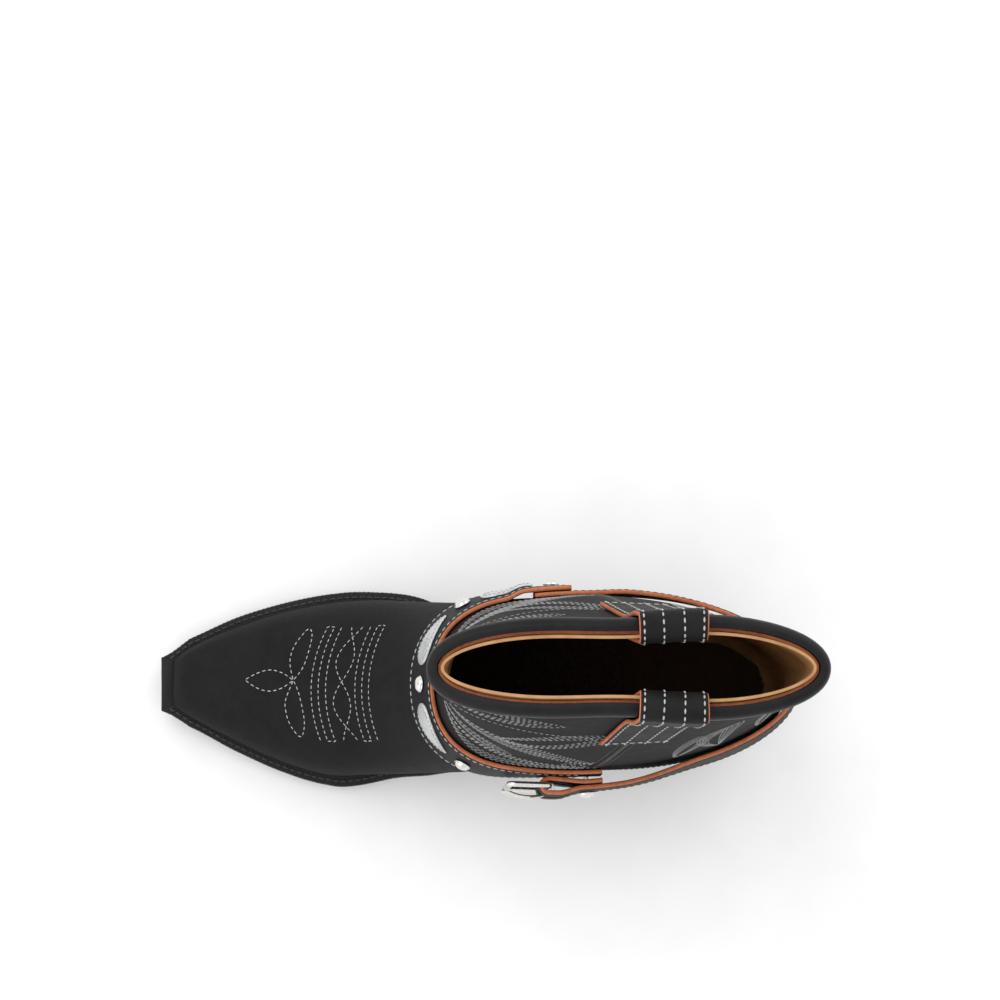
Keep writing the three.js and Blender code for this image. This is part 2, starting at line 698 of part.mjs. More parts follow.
// ---- Pull straps ----
// The strap's middle line as [depth outside the surface, height above the collar] points.
function pullPath() {
  const half = PULL_THICKNESS / 2;
  const inside = -(FACING_IN + LINING + 2 * GAP + half);
  const lying = GAP + half;
  const outside = COLLAR_ROLL + GAP + half;
  const radius = (outside - inside) / 2;
  const crest = Array.from({ length: 9 }, (_, i) => {
    const angle = Math.PI * (1 - i / 8);
    const rise = PULL_CREST - half - radius;
    return [(inside + outside) / 2 + radius * Math.cos(angle), rise + radius * Math.sin(angle)];
  });
  return [
    [inside, -PULL_INNER_LEG],
    [inside, -PULL_INNER_LEG / 2],
    [inside, -2],
    ...crest,
    [outside, -5],
    [mix(lying, outside, 0.55), -11],
    [lying, -18],
    [lying, -PULL_OUTER_LEG * 0.7],
    [lying, -PULL_OUTER_LEG],
  ];
}

function pullStrap(side) {
  const path = pullPath();
  const across = [-0.5, -0.17, 0.17, 0.5];
  const half = PULL_THICKNESS / 2;
  const placed = path.map(([depth, rise]) => {
    const z = collarLine(seamHead[0]) + Math.min(rise, 0);
    return across.map((a) => {
      const x = seamX(z) + a * PULL_WIDTH;
      const turn = turnAt(side, x, z);
      const u = heightAt(turn, z);
      const p = lastPoint(u, turn).addScaledVector(lastNormal(u, turn), depth);
      return p.setZ(p.z + Math.max(rise, 0));
    });
  });
  const rings = placed.map((row, i) => {
    const before = placed[Math.max(0, i - 1)];
    const after = placed[Math.min(placed.length - 1, i + 1)];
    const faces = row.map((p, j) => {
      const along = after[j].clone().sub(before[j]);
      const sideways = row[Math.min(3, j + 1)].clone().sub(row[Math.max(0, j - 1)]);
      return along.cross(sideways).normalize().multiplyScalar(half * side);
    });
    const over = row.map((p, j) => p.clone().add(faces[j]));
    const beneath = row.map((p, j) => p.clone().sub(faces[j])).reverse();
    return [...over, ...beneath];
  });
  return loft(rings);
}

// ---- Harness strap ----
// Distances run round the ankle from the middle of the front, positive to the inner side.
const strapCentre = (turn) => STRAP_HEIGHT + 3 * Math.cos(2 * Math.PI * turn);
const girth = measureGirth();

function middleLine(turn) {
  const u = heightAt(turn, strapCentre(turn));
  return { u, turn, point: lastPoint(u, turn) };
}

function measureGirth() {
  const table = [[0, 0]];
  let before = middleLine(0).point;
  for (let i = 1; i <= 180; i += 1) {
    const here = middleLine(i / 180).point;
    table.push([i / 180, table[i - 1][1] + here.distanceTo(before)]);
    before = here;
  }
  return table;
}

function turnOf(distance) {
  const whole = girth[girth.length - 1][1];
  const d = ((distance % whole) + whole) % whole;
  let i = 0;
  while (i < girth.length - 2 && girth[i + 1][1] < d) i += 1;
  return mix(girth[i][0], girth[i + 1][0], (d - girth[i][1]) / (girth[i + 1][1] - girth[i][1]));
}

// across runs over the strap, square to it, from -0.5 at its lower edge to 0.5 at its upper edge.
function onStrap(distance, across, depth) {
  const turn = turnOf(distance);
  const { u, point } = middleLine(turn);
  const along = middleLine(turn + 0.004).point.sub(middleLine(turn - 0.004).point).normalize();
  const up = along.cross(lastNormal(u, turn)).normalize();
  const target = point.clone().addScaledVector(up, across * STRAP_WIDTH);
  const spot = nearestOnLast(target, u, turn);
  return lastPoint(spot.u, spot.turn).addScaledVector(lastNormal(spot.u, spot.turn), depth);
}

// A strap through [distance, depth of its middle] points; its width may be narrowed for a skin.
function strapBand(path, thickness, width = 1, pointOf = onStrap) {
  const levels = [-0.5 * width, 0, 0.5 * width];
  const rows = path.map(([distance, depth]) => levels.map((a) => pointOf(distance, a, depth)));
  const rings = rows.map((row, i) => {
    const before = rows[Math.max(0, i - 1)];
    const after = rows[Math.min(rows.length - 1, i + 1)];
    const up = row[2].clone().sub(row[0]);
    const out = after[1].clone().sub(before[1]).cross(up).normalize().multiplyScalar(thickness / 2);
    return [
      ...row.map((p) => p.clone().add(out)),
      ...[...row].reverse().map((p) => p.clone().sub(out)),
    ];
  });
  return loft(rings);
}

const HALF = STRAP / 2;
const PLY = [STRAP_CLEAR + HALF, STRAP_CLEAR + STRAP + GAP + HALF]; // middle depths of two plies
const BUCKLE_AT = -3.45 * ORNAMENT_PITCH; // middle of the buckle frame
const BAR_AT = BUCKLE_AT - (BUCKLE_LENGTH - BUCKLE_BAR) / 2;
const EYE = BUCKLE_BAR * 0.71 + GAP; // inside radius of anything that turns on the bar
const LOOP = EYE + HALF; // middle radius of the strap's fold round the bar
const BAR_DEPTH = PLY[1] + LOOP;
const CHAPE_STUD = BAR_AT - 0.9 * ORNAMENT_PITCH;
const MEET = PLY[1] + STRAP * 0.45; // depth of the folded tail where the stud holds it
const JOIN_STUD = 4 * ORNAMENT_PITCH;
const JOIN = 9; // overlap of the two straps either side of the joining stud

// Evenly spaced distances with the depth blended between listed [distance, depth] points.
function strapPath(from, to, step, depthOf) {
  const count = Math.ceil(Math.abs(to - from) / step);
  return Array.from({ length: count + 1 }, (_, i) => {
    const d = mix(from, to, i / count);
    return [d, depthOf(d)];
  });
}

const frontDepth = (d) => mix(PLY[0], PLY[1], smooth(JOIN_STUD - 2.4 * JOIN, JOIN_STUD - 1.3 * JOIN, d));

function frontStrap() {
  const path = strapPath(CHAPE_STUD - 6, JOIN_STUD + JOIN, 4.5, frontDepth);
  const studs = [...ornaments.filter((o) => o.kind === "stud"), { at: CHAPE_STUD }];
  const holes = studs.map((o) => studHole(o.at));
  return holes.reduce((left, hole) => left.subtract(hole), strapBand(path, STRAP));
}

// Near the buckle's bar the rear strap lies flat in the buckle's own plane.
function flatAtBar(distance, across, depth) {
  const flat = new THREE.Vector3(distance - BUCKLE_AT, -across * STRAP_WIDTH, depth - BAR_DEPTH);
  const share = 1 - smooth(9, 30, Math.abs(distance - BAR_AT));
  return onStrap(distance, across, depth).lerp(flat.applyMatrix4(buckleAxes()), share);
}

// The rear strap folds round the buckle's bar; its tail lies inside, held by the chape stud.
function rearStrap() {
  const whole = girth[girth.length - 1][1];
  const tailDepth = (d) => mix(PLY[1], MEET, smooth(BAR_AT, CHAPE_STUD, d));
  const tail = strapPath(CHAPE_STUD - 6, BAR_AT, 4, tailDepth);
  const fold = Array.from({ length: 7 }, (_, i) => {
    const angle = (Math.PI * (i + 1)) / 8;
    return [BAR_AT + LOOP * Math.sin(angle), BAR_DEPTH - LOOP * Math.cos(angle)];
  });
  const outerDepth = (d) => {
    const pressed = mix(BAR_DEPTH + LOOP, MEET + STRAP + GAP, smooth(BAR_AT - 4, CHAPE_STUD + 2, d));
    const bulge = smooth(JOIN + 4, JOIN + 26, d + whole - JOIN_STUD);
    return mix(pressed, PLY[0] + bulge, smooth(CHAPE_STUD - 8, CHAPE_STUD - 52, d));
  };
  const back = strapPath(BAR_AT, JOIN_STUD - JOIN - whole, 6.5, outerDepth);
  const slot = buckleBox(EYE + 12, PRONG_WIDTH + 2 * GAP + 0.6, 4 * LOOP, BAR_AT - BUCKLE_AT - 3);
  const holes = [studHole(CHAPE_STUD, flatAtBar), studHole(JOIN_STUD)];
  const band = strapBand([...tail, ...fold, ...back], STRAP, 1, flatAtBar);
  return [slot, ...holes].reduce((left, hole) => left.subtract(hole), band);
}

// The frame of axes at a place on the strap: X along it, Y down across it, Z outwards.
function strapAxes(distance, depth, pointOf = onStrap) {
  const along = pointOf(distance + 1, 0, depth).sub(pointOf(distance - 1, 0, depth)).normalize();
  const drop = pointOf(distance, -0.5, depth).sub(pointOf(distance, 0.5, depth)).normalize();
  const out = along.clone().cross(drop).normalize();
  const down = out.clone().cross(along);
  return new THREE.Matrix4().makeBasis(along, down, out).setPosition(pointOf(distance, 0, depth));
}

function inPlace(solid, matrix) {
  return solid.transform(matrix.toArray());
}

function studHole(at, pointOf = onStrap) {
  const geometry = new THREE.CylinderGeometry(STUD_SHANK / 2 + GAP, STUD_SHANK / 2 + GAP, 30, 10);
  geometry.rotateX(Math.PI / 2);
  return inPlace(solidOfGeometry(geometry), strapAxes(at, 10, pointOf));
}

// ---- Studs and inlays ----
const ornaments = [
  { name: "stud_front", kind: "stud", at: 0, plies: 1 },
  { name: "stud_front_outer", kind: "stud", at: -2 * ORNAMENT_PITCH, plies: 1 },
  { name: "stud_front_inner", kind: "stud", at: 2 * ORNAMENT_PITCH, plies: 1 },
  { name: "stud_strap_join", kind: "stud", at: JOIN_STUD, plies: 2 },
  { name: "inlay_front_outer", kind: "inlay", at: -ORNAMENT_PITCH, flip: 1 },
  { name: "inlay_front_inner", kind: "inlay", at: ORNAMENT_PITCH, flip: -1 },
  { name: "inlay_side_inner", kind: "inlay", at: 3 * ORNAMENT_PITCH, flip: -1 },
];

// A domed head over a shank with a small foot; z = 0 is the strap's outer face.
function stud(plies, slack = 0) {
  const foot = plies * STRAP + (plies - 1) * GAP + slack;
  const head = STUD_HEAD / 2;
  const dome = Array.from({ length: 6 }, (_, i) => {
    const angle = (Math.PI / 2) * (i / 5);
    return new THREE.Vector2(head * Math.cos(angle), GAP + 0.5 + 2.3 * Math.sin(angle));
  });
  const profile = [
    new THREE.Vector2(0, -foot),
    new THREE.Vector2(STUD_SHANK / 2, -foot),
    new THREE.Vector2(STUD_SHANK / 2, GAP),
    new THREE.Vector2(head, GAP),
    ...dome.slice(0, -1),
    new THREE.Vector2(0, GAP + 2.8),
  ];
  const geometry = new THREE.LatheGeometry(profile, 14);
  geometry.rotateX(Math.PI / 2);
  return solidOfGeometry(geometry);
}

// A drop of leather, round at one end and pointed at the other, laid on the strap.
function inlay(at, flip) {
  const long = INLAY_LENGTH / 2;
  const wide = INLAY_WIDTH / 2;
  const drop = new THREE.Shape();
  drop.moveTo(-long, 0);
  drop.quadraticCurveTo(-long * 0.2, -wide * 1.05, long * 0.45, -wide);
  drop.quadraticCurveTo(long, -wide * 0.8, long, 0);
  drop.quadraticCurveTo(long, wide * 0.8, long * 0.45, wide);
  drop.quadraticCurveTo(-long * 0.2, wide * 1.05, -long, 0);
  const geometry = new THREE.ExtrudeGeometry(drop, { depth: 16, bevelEnabled: false, curveSegments: 6 });
  geometry.translate(0, 0, -8);
  if (flip < 0) geometry.rotateZ(Math.PI);
  const cutter = inPlace(solidOfGeometry(geometry), strapAxes(at, 0));
  const skin = (d) => frontDepth(d) + HALF + GAP + INLAY / 2;
  const path = strapPath(at - INLAY_LENGTH, at + INLAY_LENGTH, 4.5, skin);
  return strapBand(path, INLAY, 0.9).intersect(cutter);
}

// ---- Buckle, in its own axes: X along the strap, Y down across it, Z outwards ----
const FRAME_HEIGHT = STRAP_WIDTH + 2 * (BUCKLE_RAIL + 1);
const buckleAxes = () => strapAxes(BUCKLE_AT, BAR_DEPTH);

function buckleBox(length, height, thick, x) {
  const geometry = new THREE.BoxGeometry(length, height, thick);
  geometry.translate(x, 0, 0);
  return inPlace(solidOfGeometry(geometry), buckleAxes());
}

function roundedBox(width, height, radius) {
  const shape = new THREE.Shape();
  const x = width / 2;
  const y = height / 2;
  shape.moveTo(radius - x, -y);
  shape.lineTo(x - radius, -y);
  shape.quadraticCurveTo(x, -y, x, radius - y);
  shape.lineTo(x, y - radius);
  shape.quadraticCurveTo(x, y, x - radius, y);
  shape.lineTo(radius - x, y);
  shape.quadraticCurveTo(-x, y, -x, y - radius);
  shape.lineTo(-x, radius - y);
  shape.quadraticCurveTo(-x, -y, radius - x, -y);
  return shape;
}

// The front rail is as wide as the side rails; the heel bar at the back is square in section.
function buckleFrame() {
  const options = { depth: BUCKLE_BAR, bevelEnabled: false, curveSegments: 5 };
  const outer = new THREE.ExtrudeGeometry(roundedBox(BUCKLE_LENGTH, FRAME_HEIGHT, 4), options);
  const length = BUCKLE_LENGTH - BUCKLE_RAIL - BUCKLE_BAR;
  const window = new THREE.BoxGeometry(length, FRAME_HEIGHT - 2 * BUCKLE_RAIL, 4 * BUCKLE_BAR);
  window.translate((BUCKLE_BAR - BUCKLE_RAIL) / 2, 0, 0);
  outer.translate(0, 0, -BUCKLE_BAR / 2);
  return solidOfGeometry(outer).subtract(solidOfGeometry(window));
}

// The prong: an eye round the heel bar, and a tongue that arches over the window to the front rail.
function buckleProng() {
  const ring = new THREE.Shape();
  const eyeOut = EYE + 1.3;
  ring.absarc(0, 0, eyeOut, 0, 2 * Math.PI, false);
  ring.holes.push(new THREE.Path().absarc(0, 0, EYE, 0, 2 * Math.PI, true));
  const tip = BUCKLE_LENGTH - BUCKLE_BAR / 2 + 1.5;
  const rest = BUCKLE_BAR / 2 + GAP;
  const tongue = new THREE.Shape();
  tongue.moveTo(0, EYE + 0.2);
  tongue.quadraticCurveTo(tip * 0.5, EYE + 3.2, tip - 3, rest + 0.1);
  tongue.lineTo(tip, rest);
  tongue.lineTo(tip, rest + 1.6);
  tongue.quadraticCurveTo(tip * 0.55, EYE + 6.4, -0.6, eyeOut - 0.2);
  tongue.closePath();
  const solids = [ring, tongue].map((shape) => {
    const options = { depth: PRONG_WIDTH, bevelEnabled: false, curveSegments: 10 };
    const geometry = new THREE.ExtrudeGeometry(shape, options);
    geometry.translate(0, 0, -PRONG_WIDTH / 2);
    geometry.rotateX(Math.PI / 2);
    return solidOfGeometry(geometry);
  });
  return solids[0].add(solids[1]);
}

// ---- Materials ----
const finish = (color, roughness, metalness = 0) =>
  new THREE.MeshStandardMaterial({ color, roughness, metalness });
const finishes = {
  blackLeather: finish(0x1d1c1d, 0.55),
  edge: finish(0xb4633f, 0.7),
  lining: finish(0xc89a66, 0.8),
  silver: finish(0xb9bcbe, 0.4, 0.3),
  nickel: finish(0xd0d0cc, 0.22, 1),
  steel: finish(0x8b8f92, 0.4, 1),
  sole: finish(0x2a2523, 0.6),
  stacked: finish(0x3a2a20, 0.6),
  rubber: finish(0x161616, 0.85),
  board: finish(0xa47a52, 0.85),
  cork: finish(0xb58b5c, 0.9),
};

// ---- Assembly ----
const boot = new THREE.Group();

function place(name, solid, material, parent = boot) {
  const { vertProperties, triVerts } = solid.getMesh();
  const geometry = new THREE.BufferGeometry();
  geometry.setAttribute("position", new THREE.BufferAttribute(vertProperties, 3));
  geometry.setIndex(new THREE.BufferAttribute(triVerts, 1));
  const mesh = new THREE.Mesh(geometry, material);
  mesh.name = name;
  parent.add(mesh);
  return mesh;
}

// A group whose axes are those of a place on the strap.
function strapGroup(distance, depth, pointOf = onStrap) {
  const group = new THREE.Group();
  strapAxes(distance, depth, pointOf).decompose(group.position, group.quaternion, group.scale);
  boot.add(group);
  return group;
}

place("outsole", outsole(), finishes.sole);
place("welt", welt(), finishes.sole);
place("heel_rand", heelRand(), finishes.sole);
place("cork_filler", corkFiller(), finishes.cork);
place("steel_shank", shank(), finishes.steel);
place("insole", insole(), finishes.board);
place("heel_pad", heelPad(), finishes.lining);
place("heel_cap", heelCap(), finishes.rubber);
for (let number = 1; number <= HEEL_LIFTS; number += 1) {
  place(`heel_lift_${number}`, heelLift(number), finishes.stacked);
}
nailPlaces.forEach((at, i) => place(`heel_nail_${i + 1}`, heelNail(at), finishes.steel));

place("vamp", vamp(), finishes.blackLeather);
place("toe_box", toeBox(), finishes.board);
place("vamp_lining", vampLining(), finishes.lining);
place("counter_cover", counterCover(), finishes.blackLeather);
place("heel_counter", heelCounter(), finishes.board);
place("shaft_front", shaftFront(), finishes.blackLeather);
place("shaft_back", shaftBack(), finishes.blackLeather);
place("shaft_lining_front", shaftLiningFront(), finishes.lining);
place("shaft_lining_back", shaftLiningBack(), finishes.lining);
place("side_piping_outer", sidePiping(-1), finishes.blackLeather);
place("side_piping_inner", sidePiping(1), finishes.blackLeather);
place("collar_binding", collarBinding(), finishes.blackLeather);
place("collar_facing", collarFacing(), finishes.edge);
place("pull_strap_outer", pullStrap(-1), finishes.blackLeather);
place("pull_strap_inner", pullStrap(1), finishes.blackLeather);

place("harness_front_strap", frontStrap(), finishes.blackLeather);
place("harness_rear_strap", rearStrap(), finishes.blackLeather);
for (const { name, kind, at, plies, flip } of ornaments) {
  if (kind === "inlay") place(name, inlay(at, flip), finishes.silver);
  else place(name, stud(plies), finishes.nickel, strapGroup(at, frontDepth(at) + HALF));
}
const chape = strapGroup(CHAPE_STUD, MEET + STRAP + GAP + HALF, flatAtBar);
place("stud_chape", stud(2), finishes.nickel, chape);

const buckle = new THREE.Group();
buckleAxes().decompose(buckle.position, buckle.quaternion, buckle.scale);
boot.add(buckle);
place("buckle_frame", buckleFrame(), finishes.nickel, buckle);
const prong = place("buckle_prong", buckleProng(), finishes.nickel, buckle);
prong.position.x = BAR_AT - BUCKLE_AT;

// The origin lies under the middle of the whole boot, on the floor.
const box = new THREE.Box3().setFromObject(boot);
const middle = box.getCenter(new THREE.Vector3());
boot.position.set(-middle.x, -middle.y, -box.min.z);

export default boot;
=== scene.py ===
"""A short cowboy boot with a harness strap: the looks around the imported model.

Shapes are worked out in millimetres along the boot (X from the toe edge to the heel, Y to the
inner side, Z up from the floor) and carried into the model's frame, in metres, by to_row().
"""
import math

import bmesh
import bpy
import numpy as np
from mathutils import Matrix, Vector


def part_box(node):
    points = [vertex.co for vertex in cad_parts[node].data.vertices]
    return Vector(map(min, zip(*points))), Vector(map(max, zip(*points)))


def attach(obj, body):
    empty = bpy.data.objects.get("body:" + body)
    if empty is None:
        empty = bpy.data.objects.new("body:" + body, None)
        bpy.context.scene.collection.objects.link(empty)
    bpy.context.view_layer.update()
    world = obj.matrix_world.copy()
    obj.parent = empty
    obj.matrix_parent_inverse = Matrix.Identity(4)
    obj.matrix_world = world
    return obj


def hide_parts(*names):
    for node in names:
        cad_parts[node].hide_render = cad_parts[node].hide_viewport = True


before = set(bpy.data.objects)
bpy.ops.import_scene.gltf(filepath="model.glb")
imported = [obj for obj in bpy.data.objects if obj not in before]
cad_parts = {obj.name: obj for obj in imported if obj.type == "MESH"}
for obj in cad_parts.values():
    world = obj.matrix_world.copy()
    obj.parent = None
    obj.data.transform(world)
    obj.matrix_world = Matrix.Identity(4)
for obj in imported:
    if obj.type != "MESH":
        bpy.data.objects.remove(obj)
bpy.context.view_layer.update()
bpy.ops.object.select_all(action="DESELECT")

# ---- Sizes of the boot, in millimetres ----
LENGTH = 290
HEIGHT = 222
BALL_WIDTH = 92
TOE_WIDTH = 25
WAIST_WIDTH = 60
SEAT_WIDTH = 63
ANKLE = 77 / 2
COLLAR = 39 / 2
COLLAR_DIP = 9
TOE_BOX = 20
INSTEP = 107
TOE_SPRING = 8
HEEL = 39
HEEL_LENGTH = 66
HEEL_UNDERCUT = 9
HEEL_LIFTS = 5
OUTSOLE = 5
WELT = 2.7
WELT_BAND = 11
WELT_LEDGE = 5
WELT_RIDGE = 2.2  # how far apart the welt's pressed ridges are
WELT_PRESS = 0.5  # and how deep they go
LEATHER = 1.8
LINING = 1.2
GAP = 0.3
FACING_DEPTH = 16
COLLAR_ROLL = 3.2
EDGE_DROP = 1.4
PIPING = 2.6
PULL_WIDTH = 28
PULL = 2.2
PULL_OUTER_LEG = 50
PULL_INNER_LEG = 30
PULL_CREST = 11
STRAP_WIDTH = 28
STRAP = 2.2
STRAP_HEIGHT = 93
STRAP_CLEAR = 0.5
PITCH = 19.5
STUD_HEAD = 7.5
STUD_SHANK = 2.4
INLAY_LENGTH = 23
INLAY_WIDTH = 13
INLAY = 0.9
BUCKLE_LENGTH = 20
BUCKLE_RAIL = 3
BUCKLE_BAR = 2.4
PRONG_WIDTH = 3.6

FEATHER = OUTSOLE + GAP + WELT + GAP
BREAST = LENGTH - HEEL_LENGTH
SHAFT_RISE = HEIGHT - INSTEP
LINING_DEPTH = LEATHER + GAP
FACING_AT = LINING_DEPTH + LINING + GAP
UNDER = 6

TOE_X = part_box("outsole")[0].x * 1000
MIDDLE_Y = (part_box("steel_shank")[0].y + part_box("steel_shank")[1].y) * 500


def to_row(points):
    """From millimetres along the boot to metres in the model's frame."""
    return (np.asarray(points, float) + (TOE_X, MIDDLE_Y, 0)) / 1000


# ---- Small mathematics ----
def mix(a, b, share):
    return a + (b - a) * share


def smooth(low, high, value):
    share = np.clip((value - low) / (high - low), 0, 1)
    return share * share * (3 - 2 * share)


def spline(values, at):
    """A smooth curve through evenly numbered values, read at the given place."""
    i = np.clip(np.floor(at).astype(int), 0, len(values) - 2)
    t = at - i
    p0 = values[np.maximum(i - 1, 0)]
    p1 = values[i]
    p2 = values[i + 1]
    p3 = values[np.minimum(i + 2, len(values) - 1)]
    t = t.reshape(t.shape + (1,) * (values.ndim - 1))
    v0 = (p2 - p0) / 2
    v1 = (p3 - p1) / 2
    return (2 * p1 - 2 * p2 + v0 + v1) * t**3 + (-3 * p1 + 3 * p2 - 2 * v0 - v1) * t**2 + v0 * t + p1


def through(pairs):
    """A smooth curve through (position, value) pairs, as a function of the position."""
    places = np.array([p[0] for p in pairs], float)
    values = np.array([p[1] for p in pairs], float)

    def value_at(x):
        x = np.asarray(x, float)
        i = np.clip(np.searchsorted(places, x) - 1, 0, len(places) - 2)
        share = np.clip((x - places[i]) / (places[i + 1] - places[i]), 0, 1)
        return spline(values, i + share)

    return value_at


def reach(value_of, target, low, high):
    """Where an increasing function reaches its target, between low and high."""
    shape = np.shape(target)
    a = np.full(shape, float(low))
    b = np.full(shape, float(high))
    for _ in range(30):
        middle = (a + b) / 2
        short = value_of(middle) < target
        a = np.where(short, middle, a)
        b = np.where(short, b, middle)
    return (a + b) / 2


def unit(v):
    return v / np.maximum(np.linalg.norm(v, axis=-1, keepdims=True), 1e-12)


# ---- The sole line and the last, as in the design ----
sole_bottom = through([
    (0, TOE_SPRING), (0.09 * LENGTH, TOE_SPRING * 0.5), (0.19 * LENGTH, TOE_SPRING * 0.1),
    (0.3 * LENGTH, 0), (0.4 * LENGTH, HEEL * 0.03), (0.49 * LENGTH, HEEL * 0.2),
    (0.6 * LENGTH, HEEL * 0.58), (0.7 * LENGTH, HEEL * 0.84), (BREAST, HEEL * 0.93), (LENGTH, HEEL),
])
inner_half = through([
    (0, TOE_WIDTH * 0.56), (0.045 * LENGTH, BALL_WIDTH * 0.25), (0.12 * LENGTH, BALL_WIDTH * 0.36),
    (0.2 * LENGTH, BALL_WIDTH * 0.438), (0.28 * LENGTH, BALL_WIDTH * 0.485),
    (0.34 * LENGTH, BALL_WIDTH * 0.492), (0.41 * LENGTH, BALL_WIDTH * 0.468),
    (0.48 * LENGTH, mix(BALL_WIDTH, WAIST_WIDTH, 0.55) * 0.47), (0.6 * LENGTH, WAIST_WIDTH * 0.46),
    (0.72 * LENGTH, WAIST_WIDTH * 0.47), (0.85 * LENGTH, SEAT_WIDTH * 0.5), (LENGTH, SEAT_WIDTH * 0.5),
])
outer_half = through([
    (0, TOE_WIDTH * 0.44), (0.045 * LENGTH, BALL_WIDTH * 0.2), (0.12 * LENGTH, BALL_WIDTH * 0.325),
    (0.2 * LENGTH, BALL_WIDTH * 0.435), (0.27 * LENGTH, BALL_WIDTH * 0.497),
    (0.31 * LENGTH, BALL_WIDTH * 0.502), (0.38 * LENGTH, BALL_WIDTH * 0.46),
    (0.45 * LENGTH, mix(BALL_WIDTH, WAIST_WIDTH, 0.35) * 0.5), (0.6 * LENGTH, WAIST_WIDTH * 0.555),
    (0.72 * LENGTH, WAIST_WIDTH * 0.53), (0.85 * LENGTH, SEAT_WIDTH * 0.5), (LENGTH, SEAT_WIDTH * 0.5),
])


def feather(x):
    return sole_bottom(x) + FEATHER


def under(x):
    return float(feather(x)) - UNDER


def foot_station(at, rise, wide, flat, full):
    x = at * LENGTH
    half = float(inner_half(x) + outer_half(x)) / 2 - WELT_LEDGE
    shift = float(inner_half(x) - outer_half(x)) / 2
    return [x, float(feather(x)) + rise, x, under(x), half, shift, wide, flat, full]


def bend_station(fx, fz, bx, half, shift, wide, flat):
    return [fx * LENGTH, fz, bx * LENGTH, under(bx * LENGTH), half, shift, wide, flat, 2.2]


def shaft_station(fx, rise, bx, bz, spread, shift, wide, flat):
    half = mix(COLLAR, ANKLE, spread)
    return [fx * LENGTH, INSTEP + rise * SHAFT_RISE, bx * LENGTH, bz, half, shift, wide, flat, 2.1]


SEAT = float(feather(LENGTH))
STATIONS = np.array([
    foot_station(0.021, 3, 0.5, 3, 3),
    foot_station(0.028, TOE_BOX * 0.42, 0.4, 3.5, 3),
    foot_station(0.05, TOE_BOX * 0.7, 0.34, 4, 2.8),
    foot_station(0.1, TOE_BOX * 0.95, 0.28, 4, 2.5),
    foot_station(0.185, TOE_BOX * 1.36, 0.25, 4, 2.3),
    foot_station(0.27, TOE_BOX * 1.82, 0.24, 4, 2.2),
    bend_station(0.34, INSTEP * 0.52, 0.35, ANKLE + 2.2, 0, 0.27, 3.6),
    bend_station(0.39, INSTEP * 0.67, 0.45, ANKLE + 1.2, -0.5, 0.34, 3.2),
    bend_station(0.427, INSTEP * 0.84, 0.57, ANKLE, -1, 0.46, 3.2),
    bend_station(0.449, INSTEP, 0.69, ANKLE, -1, 0.56, 3.2),
    shaft_station(0.459, 0.13, 0.82, under(0.82 * LENGTH), 1, -1, 0.6, 3),
    shaft_station(0.462, 0.24, 0.935, under(0.935 * LENGTH) + 1, 0.99, -0.8, 0.58, 2.7),
    shaft_station(0.462, 0.34, 0.989, mix(SEAT, STRAP_HEIGHT, 0.12), 0.96, -0.5, 0.57, 2.3),
    shaft_station(0.462, 0.44, 1, mix(SEAT, STRAP_HEIGHT, 0.72), 0.9, 0, 0.56, 2),
    shaft_station(0.462, 0.56, 0.99, mix(STRAP_HEIGHT, HEIGHT, 0.15), 0.78, 0.5, 0.55, 1.9),
    shaft_station(0.46, 0.7, 0.986, mix(STRAP_HEIGHT, HEIGHT, 0.42), 0.58, 1, 0.52, 1.9),
    shaft_station(0.457, 0.85, 0.994, mix(STRAP_HEIGHT, HEIGHT, 0.7), 0.31, 1.5, 0.48, 2),
    shaft_station(0.45, 1, 1.007, HEIGHT, 0, 2, 0.45, 2.1),
    shaft_station(0.444, 1.14, 1.015, HEIGHT + 0.14 * SHAFT_RISE, -0.08, 2, 0.45, 2.1),
])


def last_point(u, turn):
    """The last's surface at u (0 toe, 1 above the collar) and turn (0 front, 0.25 inner side)."""
    u, turn = np.broadcast_arrays(np.asarray(u, float), np.asarray(turn, float))
    at = np.clip(u, 0, 1) * (len(STATIONS) - 1)
    fx, fz, bx, bz, half, shift, wide, flat, full = np.moveaxis(spline(STATIONS, at), -1, 0)
    c = np.cos(2 * np.pi * turn)
    power = np.where(c > 0, full, flat)
    along = np.where(c > 0, wide + (1 - wide) * c, wide * (1 + c))
    pinch = 0.16 * smooth(0.72, 0.97, u) * np.exp(-(((along - 0.52) / 0.2) ** 2))
    out = np.maximum(0, 1 - np.abs(c) ** power) ** (1 / power)
    y = np.sign(np.sin(2 * np.pi * turn)) * half * out * (1 - pinch) + shift
    return np.stack([mix(bx, fx, along), y, mix(bz, fz, along)], -1)


def last_normal(u, turn):
    u, turn = np.broadcast_arrays(np.asarray(u, float), np.asarray(turn, float))
    up = last_point(np.minimum(1, u + 0.002), turn) - last_point(np.maximum(0, u - 0.002), turn)
    round_ = last_point(u, turn + 0.003) - last_point(u, turn - 0.003)
    return unit(np.cross(up, round_))


def height_at(turn, z):
    return reach(lambda u: last_point(u, turn)[..., 2], z, 0.05, 1)


def turn_at(side, x, z):
    """The turn on one side (1 inner, -1 outer) where the surface at height z reaches x."""
    place = (lambda t: t) if side > 0 else (lambda t: 1 - t)
    return place(reach(lambda t: last_point(height_at(place(t), z), place(t))[..., 0], x, 0.01, 0.49))


def on_side(side, x, z, depth=0.0):
    """Points on the side of the upper, and the directions out of it there."""
    x, z = np.broadcast_arrays(np.asarray(x, float), np.asarray(z, float))
    turn = turn_at(side, x, z)
    u = height_at(turn, z)
    out = last_normal(u, turn)
    return last_point(u, turn) + out * np.asarray(depth, float)[..., None], out


